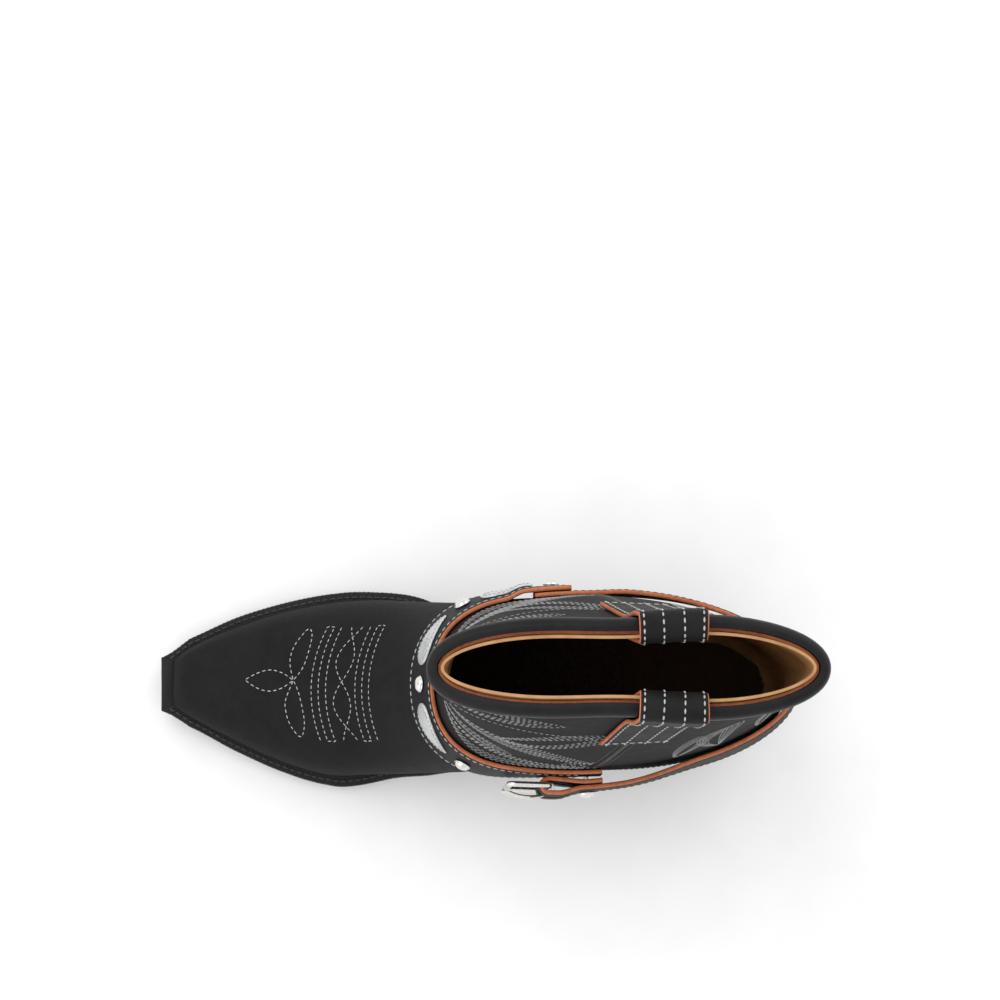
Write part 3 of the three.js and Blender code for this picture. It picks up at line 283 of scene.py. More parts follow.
# ---- Edges of the panels, in the side view ----
def collar_line(x):
    return HEIGHT - COLLAR_DIP * ((x - 0.725 * LENGTH) / (0.28 * LENGTH)) ** 2


COUNTER_FOOT = 0.62 * LENGTH
SEAM_FOOT = (COUNTER_FOOT + 0.02 * LENGTH, INSTEP * 0.62)
SEAM_HEAD = (0.79 * LENGTH, HEIGHT)
COUNTER_TOP = STRAP_HEIGHT - 2
vamp_top = through([
    (0.3 * LENGTH, INSTEP * 1.3), (0.46 * LENGTH, INSTEP * 0.9),
    (0.52 * LENGTH, INSTEP * 0.76), (COUNTER_FOOT, INSTEP * 0.62),
])
counter_top = through([
    (COUNTER_FOOT, INSTEP * 0.62), (0.74 * LENGTH, mix(INSTEP * 0.62, COUNTER_TOP, 0.45)),
    (0.88 * LENGTH, mix(INSTEP * 0.62, COUNTER_TOP, 0.8)), (1.1 * LENGTH, COUNTER_TOP),
])


def seam_x(z):
    return mix(SEAM_FOOT[0], SEAM_HEAD[0], (z - SEAM_FOOT[1]) / (SEAM_HEAD[1] - SEAM_FOOT[1]))


def panel_foot(x):
    return np.where(x < COUNTER_FOOT, vamp_top(x), counter_top(x)) + GAP


# ---- Making meshes ----
def new_object(name, points, faces, materials, slots=None):
    """A mesh in the model's frame from millimetre points."""
    mesh = bpy.data.meshes.new(name)
    mesh.from_pydata(to_row(points).tolist(), [], faces)
    for finish in materials:
        mesh.materials.append(finish)
    if slots is not None:
        mesh.polygons.foreach_set("material_index", slots)
    mesh.update()
    piece = bpy.data.objects.new(name, mesh)
    bpy.context.collection.objects.link(piece)
    return piece


def only(piece):
    bpy.ops.object.select_all(action="DESELECT")
    piece.select_set(True)
    bpy.context.view_layer.objects.active = piece


def finish_with(piece, kind, **settings):
    """Adds a modifier and applies it."""
    only(piece)
    modifier = piece.modifiers.new(kind.lower(), kind)
    for key, value in settings.items():
        setattr(modifier, key, value)
    bpy.ops.object.modifier_apply(modifier=modifier.name)


def smooth_shade(piece, degrees=40):
    only(piece)
    bpy.ops.object.shade_smooth_by_angle(angle=math.radians(degrees))


def face_outwards(piece):
    only(piece)
    bpy.ops.object.mode_set(mode="EDIT")
    bpy.ops.mesh.select_all(action="SELECT")
    bpy.ops.mesh.remove_doubles(threshold=1e-6)
    bpy.ops.mesh.normals_make_consistent(inside=False)
    bpy.ops.object.mode_set(mode="OBJECT")


def settle(piece, slot, *nodes, body="root"):
    """Rides a finished piece on its body and lets it stand for the CAD nodes it replaces."""
    if nodes:
        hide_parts(*nodes)
    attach(piece, body)
    return piece


def loft(name, rings, materials, slot_of=None, closed=False, round_=True):
    """A skin through rings of points; slot_of(ring, place) picks a face's material."""
    rings = np.asarray(rings)
    count, size = rings.shape[:2]
    spans = count if closed else count - 1
    around = size if round_ else size - 1
    faces = []
    slots = []
    for r in range(spans):
        for i in range(around):
            a, b = r * size + i, r * size + (i + 1) % size
            c, d = ((r + 1) % count) * size + (i + 1) % size, ((r + 1) % count) * size + i
            faces.append((a, b, c, d))
            slots.append(slot_of(r, i) if slot_of else 0)
    if round_ and not closed:
        faces += [tuple(range(size))[::-1], tuple(range((count - 1) * size, count * size))]
        slots += [slot_of(0, -1) if slot_of else 0, slot_of(count - 1, -1) if slot_of else 0]
    piece = new_object(name, rings.reshape(-1, 3), faces, materials, slots)
    face_outwards(piece)
    return piece


# ---- Shader groups, each used by several finishes ----
def new_group(name, inputs, outputs):
    tree = bpy.data.node_groups.new(name, "ShaderNodeTree")
    for socket, value in inputs.items():
        kind = "NodeSocketVector" if value is None else "NodeSocketFloat"
        made = tree.interface.new_socket(socket, in_out="INPUT", socket_type=kind)
        if value is not None:
            made.default_value = value
    for socket in outputs:
        tree.interface.new_socket(socket, in_out="OUTPUT", socket_type="NodeSocketFloat")
    return tree, tree.nodes.new("NodeGroupInput"), tree.nodes.new("NodeGroupOutput")


def add(tree, kind, values=None, **settings):
    """A node with its settings, and numbers or links for its inputs."""
    node = tree.nodes.new(kind)
    for key, value in settings.items():
        setattr(node, key, value)
    for key, value in (values or {}).items():
        if isinstance(value, bpy.types.NodeSocket):
            tree.links.new(value, node.inputs[key])
        else:
            node.inputs[key].default_value = value
    return node


def grain_group():
    """Leather grain: pebbles parted by creases, with fine pores on top."""
    tree, given, result = new_group("Leather grain", {"Place": None, "Pebble": 900.0, "Pore": 2600.0},
                                    ["Height", "Crease"])
    warp = add(tree, "ShaderNodeTexNoise", {"Vector": given.outputs["Place"], "Scale": 260.0, "Detail": 2.0})
    bent = add(tree, "ShaderNodeVectorMath", {0: warp.outputs["Color"], 3: 0.0012}, operation="SCALE")
    place = add(tree, "ShaderNodeVectorMath", {0: given.outputs["Place"], 1: bent.outputs[0]})
    pebble = add(tree, "ShaderNodeTexVoronoi",
                 {"Vector": place.outputs[0], "Scale": given.outputs["Pebble"]}, feature="DISTANCE_TO_EDGE")
    crease = add(tree, "ShaderNodeMapRange", {0: pebble.outputs["Distance"], 1: 0.0, 2: 0.22, 3: 0.0, 4: 1.0})
    pore = add(tree, "ShaderNodeTexNoise",
               {"Vector": given.outputs["Place"], "Scale": given.outputs["Pore"], "Detail": 3.0})
    height = add(tree, "ShaderNodeMath", {0: pore.outputs["Fac"], 1: 0.35, 2: crease.outputs[0]},
                 operation="MULTIPLY_ADD")
    tree.links.new(height.outputs[0], result.inputs["Height"])
    tree.links.new(crease.outputs[0], result.inputs["Crease"])
    return tree


def mottle_group():
    """Uneven tone: broad clouds and small flecks, between 0 and 1."""
    tree, given, result = new_group("Mottle", {"Place": None, "Broad": 22.0, "Fine": 160.0}, ["Tone"])
    broad = add(tree, "ShaderNodeTexNoise",
                {"Vector": given.outputs["Place"], "Scale": given.outputs["Broad"], "Detail": 3.0})
    fine = add(tree, "ShaderNodeTexNoise",
               {"Vector": given.outputs["Place"], "Scale": given.outputs["Fine"], "Detail": 4.0})
    both = add(tree, "ShaderNodeMath", {0: broad.outputs["Fac"], 1: fine.outputs["Fac"]}, operation="ADD")
    tone = add(tree, "ShaderNodeMapRange", {0: both.outputs[0], 1: 0.7, 2: 1.3, 3: 0.0, 4: 1.0})
    tree.links.new(tone.outputs[0], result.inputs["Tone"])
    return tree


def fibre_group():
    """Fine fibres drawn out along X, as on a cut leather edge."""
    tree, given, result = new_group("Fibres", {"Place": None, "Scale": 500.0}, ["Height"])
    drawn = add(tree, "ShaderNodeMapping", {"Vector": given.outputs["Place"], "Scale": (0.25, 0.25, 2.2)})
    noise = add(tree, "ShaderNodeTexNoise",
                {"Vector": drawn.outputs[0], "Scale": given.outputs["Scale"],
                 "Detail": 5.0, "Roughness": 0.7})
    tree.links.new(noise.outputs["Fac"], result.inputs["Height"])
    return tree


GRAIN = grain_group()
MOTTLE = mottle_group()
FIBRES = fibre_group()


def new_finish(name, **settings):
    finish = bpy.data.materials.new(name)
    finish.use_nodes = True
    tree = finish.node_tree
    shader = tree.nodes["Principled BSDF"]
    for key, value in settings.items():
        shader.inputs[key.replace("_", " ")].default_value = value
    place = tree.nodes.new("ShaderNodeTexCoord").outputs["Object"]
    return finish, tree, shader, place


def use(tree, group, **values):
    node = tree.nodes.new("ShaderNodeGroup")
    node.node_tree = group
    for key, value in values.items():
        if isinstance(value, bpy.types.NodeSocket):
            tree.links.new(value, node.inputs[key])
        else:
            node.inputs[key].default_value = value
    return node


def tone_colour(tree, shader, tone, dark, light):
    blend = add(tree, "ShaderNodeMix", {0: tone, 6: (*dark, 1), 7: (*light, 1)}, data_type="RGBA")
    tree.links.new(blend.outputs[2], shader.inputs["Base Color"])
    return blend


def tone_range(tree, tone, low, high):
    return add(tree, "ShaderNodeMapRange", {0: tone, 1: 0.0, 2: 1.0, 3: low, 4: high}).outputs[0]


def bump(tree, shader, height, strength, distance):
    node = add(tree, "ShaderNodeBump", {"Strength": strength, "Distance": distance, "Height": height})
    tree.links.new(node.outputs[0], shader.inputs["Normal"])


def leather(name, dark, light, rough, pebble=900.0, strength=0.35, depth=0.00012, **settings):
    """Grained leather: pebbled bump, uneven tone, shinier on the pebbles than in the creases."""
    finish, tree, shader, place = new_finish(name, **settings)
    tone = use(tree, MOTTLE, Place=place).outputs["Tone"]
    grain = use(tree, GRAIN, Place=place, Pebble=pebble)
    tone_colour(tree, shader, tone, dark, light)
    worn = tone_range(tree, tone, *rough)
    shine = add(tree, "ShaderNodeMath", {0: grain.outputs["Crease"], 1: -0.08, 2: worn},
                operation="MULTIPLY_ADD")
    tree.links.new(shine.outputs[0], shader.inputs["Roughness"])
    bump(tree, shader, grain.outputs["Height"], strength, depth)
    return finish


def cut_edge(name, dark, light, rough=0.8):
    """A raw or inked cut edge, with the fibres showing."""
    finish, tree, shader, place = new_finish(name, Specular_IOR_Level=0.2)
    fibre = use(tree, FIBRES, Place=place)
    tone = use(tree, MOTTLE, Place=place, Broad=60.0, Fine=700.0).outputs["Tone"]
    tone_colour(tree, shader, tone, dark, light)
    tree.links.new(tone_range(tree, tone, rough - 0.12, rough + 0.08), shader.inputs["Roughness"])
    bump(tree, shader, fibre.outputs["Height"], 0.5, 0.00015)
    return finish


def metal(name, dark, light, rough, scratch=0.05):
    """Plated metal with faint hairlines and hand marks."""
    finish, tree, shader, place = new_finish(name, Metallic=1.0)
    tone = use(tree, MOTTLE, Place=place, Broad=90.0, Fine=900.0).outputs["Tone"]
    fibre = use(tree, FIBRES, Place=place, Scale=900.0)
    tone_colour(tree, shader, tone, dark, light)
    tree.links.new(tone_range(tree, tone, *rough), shader.inputs["Roughness"])
    bump(tree, shader, fibre.outputs["Height"], scratch, 0.00003)
    return finish


def thread_finish(name, dark, light):
    finish, tree, shader, place = new_finish(name, Sheen_Weight=0.2)
    tone = use(tree, MOTTLE, Place=place, Broad=300.0, Fine=2200.0).outputs["Tone"]
    tone_colour(tree, shader, tone, dark, light)
    tree.links.new(tone_range(tree, tone, 0.55, 0.8), shader.inputs["Roughness"])
    bump(tree, shader, tone, 0.4, 0.00008)
    return finish


def granulated(name, dark, light, grain=380.0):
    """Pressed granules, as in cork and fibre board."""
    finish, tree, shader, place = new_finish(name, Roughness=0.85)
    cells = add(tree, "ShaderNodeTexVoronoi", {"Vector": place, "Scale": grain})
    tone = add(tree, "ShaderNodeSeparateColor", {0: cells.outputs["Color"]}).outputs[0]
    tone_colour(tree, shader, tone, dark, light)
    bump(tree, shader, cells.outputs["Distance"], 0.4, 0.0003)
    return finish


BLACK = leather("Black oiled leather", (0.006, 0.006, 0.0065), (0.013, 0.013, 0.014), (0.68, 0.82),
                strength=0.5, Specular_IOR_Level=0.12)
ROLL = leather("Black rolled edge", (0.006, 0.006, 0.0065), (0.012, 0.012, 0.013), (0.4, 0.52),
               pebble=1100.0, Specular_IOR_Level=0.16)
STRAP_BLACK = leather("Black strap leather", (0.006, 0.006, 0.0065), (0.013, 0.013, 0.014), (0.55, 0.7),
                      pebble=760.0, strength=0.55, Specular_IOR_Level=0.14)
TAN = leather("Tan lining leather", (0.36, 0.19, 0.075), (0.52, 0.3, 0.13), (0.6, 0.75),
              pebble=1500.0, strength=0.2, Specular_IOR_Level=0.25)
# Painted shade: the heel sock's brown is darkened nearly to black for the shade at the bottom of the shaft.
HEEL_SOCK_PAINTED_SHADE = leather("Heel sock leather in painted shade", (0.03, 0.017, 0.009), (0.06, 0.035, 0.02), (0.6, 0.75),
                    pebble=1300.0, strength=0.25, Specular_IOR_Level=0.2)
SILVER = leather("Silver foiled leather", (0.42, 0.43, 0.44), (0.62, 0.63, 0.64), (0.3, 0.46),
                 pebble=640.0, strength=0.5, Metallic=0.55)
TERRACOTTA = cut_edge("Terracotta cut edge", (0.36, 0.1, 0.045), (0.56, 0.19, 0.085))
INKED = cut_edge("Black inked edge", (0.006, 0.0055, 0.0055), (0.014, 0.013, 0.0125), rough=0.5)
SOLE = cut_edge("Oiled sole leather", (0.05, 0.03, 0.02), (0.1, 0.06, 0.038), rough=0.62)
RUBBER = cut_edge("Black rubber", (0.007, 0.007, 0.007), (0.014, 0.014, 0.014), rough=0.8)
NICKEL = metal("Bright nickel", (0.6, 0.59, 0.56), (0.76, 0.75, 0.72), (0.1, 0.22))
STEEL = metal("Spring steel", (0.22, 0.23, 0.24), (0.36, 0.37, 0.39), (0.3, 0.5), scratch=0.3)
CORK = granulated("Cork filler", (0.3, 0.17, 0.07), (0.55, 0.36, 0.18))
BOARD = granulated("Leather board", (0.24, 0.13, 0.06), (0.4, 0.25, 0.13), grain=900.0)
# Painted shade: the insole board's brown is darkened nearly to black for the shade at the bottom of the
# shaft.
INSOLE_PAINTED_SHADE = granulated("Insole board in painted shade", (0.018, 0.011, 0.006), (0.045, 0.028, 0.016), grain=900.0)
THREAD = thread_finish("Off-white thread", (0.3, 0.3, 0.285), (0.5, 0.5, 0.47))
GREY_THREAD = thread_finish("Grey thread", (0.17, 0.17, 0.165), (0.32, 0.32, 0.31))
BLACK_THREAD = thread_finish("Black waxed thread", (0.012, 0.012, 0.012), (0.035, 0.035, 0.035))


# ---- Sewing: every stitch is a short thread lying on its seam ----
def single_stitch():
    """The points and faces of one stitch, along X, one unit in each half size."""
    bpy.ops.mesh.primitive_uv_sphere_add(segments=6, ring_count=4, radius=1, rotation=(0, math.pi / 2, 0))
    piece = bpy.context.object
    bpy.ops.object.transform_apply(rotation=True)
    points = np.array([v.co for v in piece.data.vertices])
    faces = [tuple(p.vertices) for p in piece.data.polygons]
    bpy.data.objects.remove(piece)
    return points, faces


STITCH_POINTS, STITCH_FACES = single_stitch()


def sew(name, rows, thread=THREAD, stitch=1.9, gap=0.8, radius=0.34, slot="black_leather"):
    """One piece holding all the stitches of the rows, each row a (points, outward) pair."""
    points = []
    faces = []
    start = 0
    for path, out in rows:
        step = np.linalg.norm(np.diff(path, axis=0), axis=1)
        run = np.concatenate([[0], np.cumsum(step)])
        count = max(1, int(run[-1] / (stitch + gap)))
        pitch = run[-1] / count
        middles = (np.arange(count) + 0.5) * pitch
        half = pitch * stitch / (stitch + gap) / 2

        def at(distance, values):
            return np.stack([np.interp(distance, run, values[:, k]) for k in range(3)], -1)

        ahead = unit(at(middles + half * 0.8, path) - at(middles - half * 0.8, path))
        up = at(middles, out)
        up = unit(up - ahead * np.sum(up * ahead, -1, keepdims=True))
        aside = np.cross(up, ahead)
        centre = at(middles, path) + up * radius * 0.35
        shaped = (STITCH_POINTS[None, :, 0:1] * ahead[:, None] * half
                  + STITCH_POINTS[None, :, 1:2] * aside[:, None] * radius
                  + STITCH_POINTS[None, :, 2:3] * up[:, None] * radius * 0.8)
        points.append((centre[:, None] + shaped).reshape(-1, 3))
        for _ in range(count):
            faces += [tuple(i + start for i in face) for face in STITCH_FACES]
            start += len(STITCH_POINTS)
    piece = new_object(name, np.concatenate(points), faces, [thread])
    smooth_shade(piece, 60)
    return settle(piece, slot)


def curve_through(points, step=1.2):
    """A smooth open curve through given points, resampled evenly."""
    points = np.asarray(points, float)
    at = np.linspace(0, len(points) - 1, 24 * len(points))
    fine = spline(points, at)
    run = np.concatenate([[0], np.cumsum(np.linalg.norm(np.diff(fine, axis=0), axis=1))])
    even = np.linspace(0, run[-1], max(3, int(run[-1] / step)))
    return np.stack([np.interp(even, run, fine[:, k]) for k in range(fine.shape[1])], -1)


# ---- The upper: one skin over the last, cut into panels ----
ROWS = 190
COLUMNS = 88


def half_to_feather(u, side):
    """How much turn lies between the top of the section and the feather line, or the back."""
    place = (lambda t: t) if side > 0 else (lambda t: 1 - t)

    def below(t):
        p = last_point(u, place(t))
        return feather(p[..., 0]) - p[..., 2]

    return reach(below, np.zeros_like(u), 0.02, 0.5)


def skin_grid():
    """Points and outward directions over the whole upper, from the toe to above the collar."""
    u = np.linspace(0, 1, ROWS)
    share = np.linspace(0, 1, COLUMNS)
    inner = share[::-1][None] * half_to_feather(u, 1)[:, None]
    outer = 1 - share[1:][None] * half_to_feather(u, -1)[:, None]
    turn = np.concatenate([inner, outer], 1)
    points = last_point(u[:, None], turn)
    out = last_normal(u[:, None], turn)
    noses = []
    for k in (0.0, 0.35, 0.7):
        nose = points[0].copy()
        floor = feather(nose[:, 0])
        nose[:, 2] = floor + (nose[:, 2] - floor) * k
        nose[:, 0] -= 0.9 * (1 - k)
        noses.append(nose)
    forward = np.array([-1.0, 0, 0.25])
    tips = [unit(mix(forward, out[0], k)) for k in (0.0, 0.35, 0.7)]
    return np.concatenate([noses, points]), np.concatenate([tips, out])


SKIN, SKIN_OUT = skin_grid()


def cut_along(bm, keep):
    """Cuts the skin where keep is 0 and drops the side where it is negative."""
    points = np.array([v.co for v in bm.verts])
    values = keep(points[:, 0], points[:, 2])
    values = np.where(np.abs(values) < 1e-6, 1e-6, values)
    level = dict(zip(bm.verts, values))
    for edge in [e for e in bm.edges if level[e.verts[0]] * level[e.verts[1]] < 0]:
        start, end = edge.verts
        _, made = bmesh.utils.edge_split(edge, start, level[start] / (level[start] - level[end]))
        level[made] = 0.0
    for face in list(bm.faces):
        on = [v for v in face.verts if level[v] == 0.0]
        if len(on) == 2:
            bmesh.utils.face_split(face, on[0], on[1])
    gone = [f for f in bm.faces if min(level[v] for v in f.verts) < 0]
    bmesh.ops.delete(bm, geom=gone, context="FACES")


def panel(name, depth_of, thick, keeps, face, edge, slot, *nodes):
    """A leather panel: the skin at a depth inside the last, cut to its outline and given a wall."""
    points = SKIN - SKIN_OUT * depth_of(SKIN)[..., None]
    rows, columns = points.shape[:2]
    bm = bmesh.new()
    grid = [bm.verts.new(p) for p in points.reshape(-1, 3)]
    for r in range(rows - 1):
        for c in range(columns - 1):
            a = r * columns + c
            bm.faces.new((grid[a], grid[a + 1], grid[a + columns + 1], grid[a + columns]))
    for keep in keeps:
        cut_along(bm, keep)
    bmesh.ops.remove_doubles(bm, verts=bm.verts, dist=0.05)
    bmesh.ops.dissolve_degenerate(bm, edges=bm.edges, dist=0.01)
    loose = [v for v in bm.verts if not v.link_faces]
    bmesh.ops.delete(bm, geom=loose, context="VERTS")
    bmesh.ops.recalc_face_normals(bm, faces=bm.faces)
    if sum((f.normal.y * (f.calc_center_median().y - 2)) * f.calc_area() for f in bm.faces) < 0:
        bmesh.ops.reverse_faces(bm, faces=bm.faces)
    for vert, place in zip(bm.verts, to_row([v.co for v in bm.verts])):
        vert.co = place
    mesh = bpy.data.meshes.new(name)
    bm.to_mesh(mesh)
    bm.free()
    mesh.materials.append(face)
    mesh.materials.append(edge)
    piece = bpy.data.objects.new(name, mesh)
    bpy.context.collection.objects.link(piece)
    finish_with(piece, "SOLIDIFY", thickness=thick / 1000, offset=-1.0, use_rim=True,
                material_offset_rim=1, use_quality_normals=True)
    smooth_shade(piece, 35)
    return settle(piece, slot, *nodes)


def at_depth(depth):
    return lambda p: np.full(p.shape[:-1], float(depth))


def lining_depth():
    """The lining goes in deeper where it passes over the toe box and the heel counter."""

    def depth_of(p):
        toe = 1 - smooth(0.235 * LENGTH, 0.29 * LENGTH, p[..., 0])
        low = 1 - smooth(0.97, 1.15, p[..., 2] / STRAP_HEIGHT)
        heel = smooth(0.67 * LENGTH, 0.73 * LENGTH, p[..., 0]) * low
        return LINING_DEPTH + np.maximum(toe, heel) * (LINING + GAP)

    return depth_of


def below_collar(x, z):
    return collar_line(x) - EDGE_DROP - z


def build_upper():
    seam = PIPING / 2 + GAP
    surface = at_depth(0)
    panel("vamp_leather", surface, LEATHER,
          [lambda x, z: COUNTER_FOOT - GAP - x, lambda x, z: vamp_top(x) - z],
          BLACK, INKED, "black_leather", "vamp")
    panel("counter_leather", surface, LEATHER,
          [lambda x, z: x - COUNTER_FOOT, lambda x, z: counter_top(x) - z],
          BLACK, INKED, "black_leather", "counter_cover")
    panel("shaft_front_leather", surface, LEATHER,
          [lambda x, z: z - panel_foot(x), lambda x, z: seam_x(z) - seam - x, below_collar],
          BLACK, INKED, "black_leather", "shaft_front")
    panel("shaft_back_leather", surface, LEATHER,
          [lambda x, z: z - panel_foot(x), lambda x, z: x - seam_x(z) - seam, below_collar],
          BLACK, INKED, "black_leather", "shaft_back")


def build_lining():
    panel("vamp_lining_leather", lining_depth(), LINING,
          [lambda x, z: COUNTER_FOOT - GAP - x, lambda x, z: vamp_top(x) - z],
          TAN, TAN, "lining_leather", "vamp_lining")
    panel("shaft_lining_front_leather", lining_depth(), LINING,
          [lambda x, z: z - panel_foot(x), lambda x, z: seam_x(z) - GAP / 2 - x, below_collar],
          TAN, TERRACOTTA, "lining_leather", "shaft_lining_front")
    panel("shaft_lining_back_leather", lining_depth(), LINING,
          [lambda x, z: x - np.maximum(COUNTER_FOOT, seam_x(z) + GAP / 2), below_collar],
          TAN, TERRACOTTA, "lining_leather", "shaft_lining_back")
    panel("collar_facing_leather", at_depth(FACING_AT), LINING,
          [lambda x, z: z - collar_line(x) + FACING_DEPTH, lambda x, z: collar_line(x) + 1.2 - z],
          TAN, TAN, "edge_leather", "collar_facing")


def collar_height(turn):
    def rise(u):
        p = last_point(u, turn)
        return p[..., 2] - collar_line(p[..., 0])

    return reach(rise, np.zeros_like(turn), 0.6, 1)


def build_collar_roll():
    """The rolled top edge, a soft bead that closes over the panels."""
    bead = np.array([
        (1.6 * GAP, -6), (COLLAR_ROLL * 0.75, -5.6), (COLLAR_ROLL, -3.2), (COLLAR_ROLL * 0.8, -0.6),
        (COLLAR_ROLL * 0.2, 1.2), (-LEATHER, 1.2), (-LEATHER, -EDGE_DROP + 2 * GAP),
        (1.6 * GAP, -EDGE_DROP + 2 * GAP),
    ])
    rounded = spline(np.concatenate([bead[:6], bead[5:6]]), np.linspace(0, 5, 21))
    section = np.concatenate([rounded, bead[6:]])
    turn = np.linspace(0, 1, 181)[:-1]
    u = collar_height(turn)
    edge = last_point(u, turn)
    out = last_normal(u, turn)
    up = unit(edge - last_point(u - 0.02, turn))
    rings = edge[:, None] + out[:, None] * section[None, :, 0:1] + up[:, None] * section[None, :, 1:2]
    piece = loft("collar_roll", rings, [ROLL], closed=True)
    smooth_shade(piece, 50)
    settle(piece, "black_leather", "collar_binding")


def tube(name, path, radius, material, sides=10):
    ahead = unit(np.gradient(path, axis=0))
    aside = unit(np.cross(ahead, np.array([0, 1.0, 0])))
    up = np.cross(ahead, aside)
    angle = np.linspace(0, 2 * math.pi, sides, endpoint=False)[None, :, None]
    rings = path[:, None] + radius * (np.cos(angle) * aside[:, None] + np.sin(angle) * up[:, None])
    piece = loft(name, rings, [material])
    smooth_shade(piece, 60)
    return piece


def build_piping():
    z = np.linspace(SEAM_FOOT[1] + 1.5, HEIGHT - EDGE_DROP - 5, 70)
    strap_top = STRAP_HEIGHT + STRAP_WIDTH / 2
    depth = mix(-1.25, -0.55, smooth(strap_top + 2, strap_top + 8, z))
    for side, word in ((1, "inner"), (-1, "outer")):
        path, _ = on_side(side, seam_x(z), z, depth)
        piece = tube(f"seam_piping_{word}", path, PIPING / 2, ROLL)
        settle(piece, "black_leather", f"side_piping_{word}")


# ---- Sole and heel ----
def edge_point(side, along, inset, back=LENGTH - 2):
    """A point on the sole's edge, with the two sides meeting in a half circle at the back."""
    x = mix(inset, back - inset, along)
    half = np.where(side > 0, inner_half(x), outer_half(x))
    bend = SEAT_WIDTH * 0.52
    past = np.clip((x - (back - inset - bend)) / bend, 0, 1)
    return np.stack([x, side * np.maximum(half - inset, 1) * np.sqrt(1 - past * past)], -1)


def along_edge(start, end, count):
    """Places along the sole, closing up towards the back of the heel."""
    t = np.linspace(0, 1, count)
    if end < 0.99:
        return mix(start, end, t)
    return mix(start, end, 1 - (1 - t) ** 2 * (1 - 0.5 * t))


def plate(name, start, end, inset, low, high, materials):
    """A plate that follows the sole line; its rim is the second material."""
    along = along_edge(start, end, 150)
    inner = edge_point(1, along, inset)
    outer = edge_point(-1, along, inset)
    across = np.linspace(0, 1, 9)
    flat = inner[:, None] * (1 - across)[None, :, None] + outer[:, None] * across[None, :, None]
    z = sole_bottom(inner[:, 0])[:, None, None] + np.zeros((1, 9, 1))
    rings = np.concatenate([
        np.concatenate([flat, z + high], -1), np.concatenate([flat, z + low], -1)[:, ::-1]], 1)
    rim = (8, 17)
    return loft(name, rings, materials, slot_of=lambda r, i: 1 if i in rim or i < 0 else 0)


def band(name, sides):
    """The welt's band along the sole's edge, pressed with fine ridges across its top and edge."""
    low = OUTSOLE + GAP
    high = low + WELT
    out = np.concatenate([edge_point(s, a, 0) for s, a in sides])
    inn = np.concatenate([edge_point(s, a, WELT_BAND) for s, a in sides])
    run = np.concatenate([[0], np.cumsum(np.linalg.norm(np.diff(out, axis=0), axis=1))])
    wave = 0.5 - 0.5 * np.cos(2 * math.pi * run / WELT_RIDGE)
    outward = unit(out - inn)
    drop = WELT_PRESS * wave
    ring = []
    for share, height, press in ((0, low, 0.0), (0, low + 0.35, 0.35), (0, high - 0.5, 1.0),
                                 (0.06, high, 1.0), (0.4, high, 0.9), (0.5, high, 0.0),
                                 (1, high, 0.0), (1, low, 0.0)):
        flat = mix(out, inn, share) - outward * (drop * press)[:, None]
        z = sole_bottom(flat[:, 0]) + height - (drop * press if height == high else 0)
        ring.append(np.concatenate([flat, z[:, None]], -1))
    piece = loft(name, np.stack(ring, 1), [INKED])
    smooth_shade(piece, 50)
    return piece


def build_sole():
    sole = plate("outsole_leather", 0, 0.9995, 0, 0, OUTSOLE, [SOLE, INKED])
    finish_with(sole, "BEVEL", width=0.0004, segments=2, limit_method="ANGLE", angle_limit=math.radians(50))
    smooth_shade(sole, 50)
    settle(sole, "sole_leather", "outsole")
    breast = BREAST / (LENGTH - 2)
    side = mix(0, breast - 0.01, np.linspace(0, 1, 560))
    welt = band("welt_leather", [(-1, side[::-1]), (1, side)])
    settle(welt, "sole_leather", "welt")
    side = along_edge(breast + 0.01, 0.9995, 170)
    rand = band("heel_rand_leather", [(-1, side), (1, side[::-1])])
    settle(rand, "sole_leather", "heel_rand")


def heel_outline(z):
    drop = 1 - z / HEEL
    inset = 1 + 2.5 * drop
    back = LENGTH - 2 - HEEL_UNDERCUT * drop
    front = BREAST + 3 * drop
    start = (front - inset) / (back - 2 * inset)
    side = along_edge(start, 0.9995, 60)
    return np.concatenate([edge_point(1, side, inset, back), edge_point(-1, side, inset, back)[::-1]])


def heel_slab(name, low, high, material, slot, node, level=None):
    """One layer of the heel, with its edge bulging very slightly between the joints."""
    rings = []
    for share, tuck in ((0, 0.25), (0.15, 0.0), (0.5, -0.08), (0.85, 0.0), (1, 0.25)):
        z = mix(low, high, share)
        flat = heel_outline(min(z, HEEL))
        centre = flat.mean(0)
        flat = flat + unit(centre - flat) * tuck
        height = np.full(len(flat), z)
        if level is not None:
            height = mix(low, level(flat[:, 0]), share)
        rings.append(np.concatenate([flat, height[:, None]], -1))
    piece = loft(name, rings, [material])
    smooth_shade(piece, 30)
    settle(piece, slot, node)


def build_heel():
    heel_slab("heel_cap_rubber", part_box("heel_cap")[0].z * 1000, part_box("heel_cap")[1].z * 1000,
              RUBBER, "rubber", "heel_cap")
    for i in range(1, HEEL_LIFTS + 1):
        node = f"heel_lift_{i}"
        low, high = (corner.z * 1000 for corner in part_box(node))
        level = (lambda x: sole_bottom(x) - GAP) if i == HEEL_LIFTS else None
        heel_slab(f"{node}_leather", low, high, INKED, "stacked_leather", node, level)


# ---- Straps ----
def strap_centre(turn):
    return STRAP_HEIGHT + 3 * np.cos(2 * np.pi * turn)


def middle_line(turn):
    return last_point(height_at(turn, strap_centre(turn)), turn)


GIRTH_TURNS = np.linspace(0, 1, 181)
GIRTH = np.concatenate([[0], np.cumsum(np.linalg.norm(np.diff(middle_line(GIRTH_TURNS), axis=0), axis=1))])


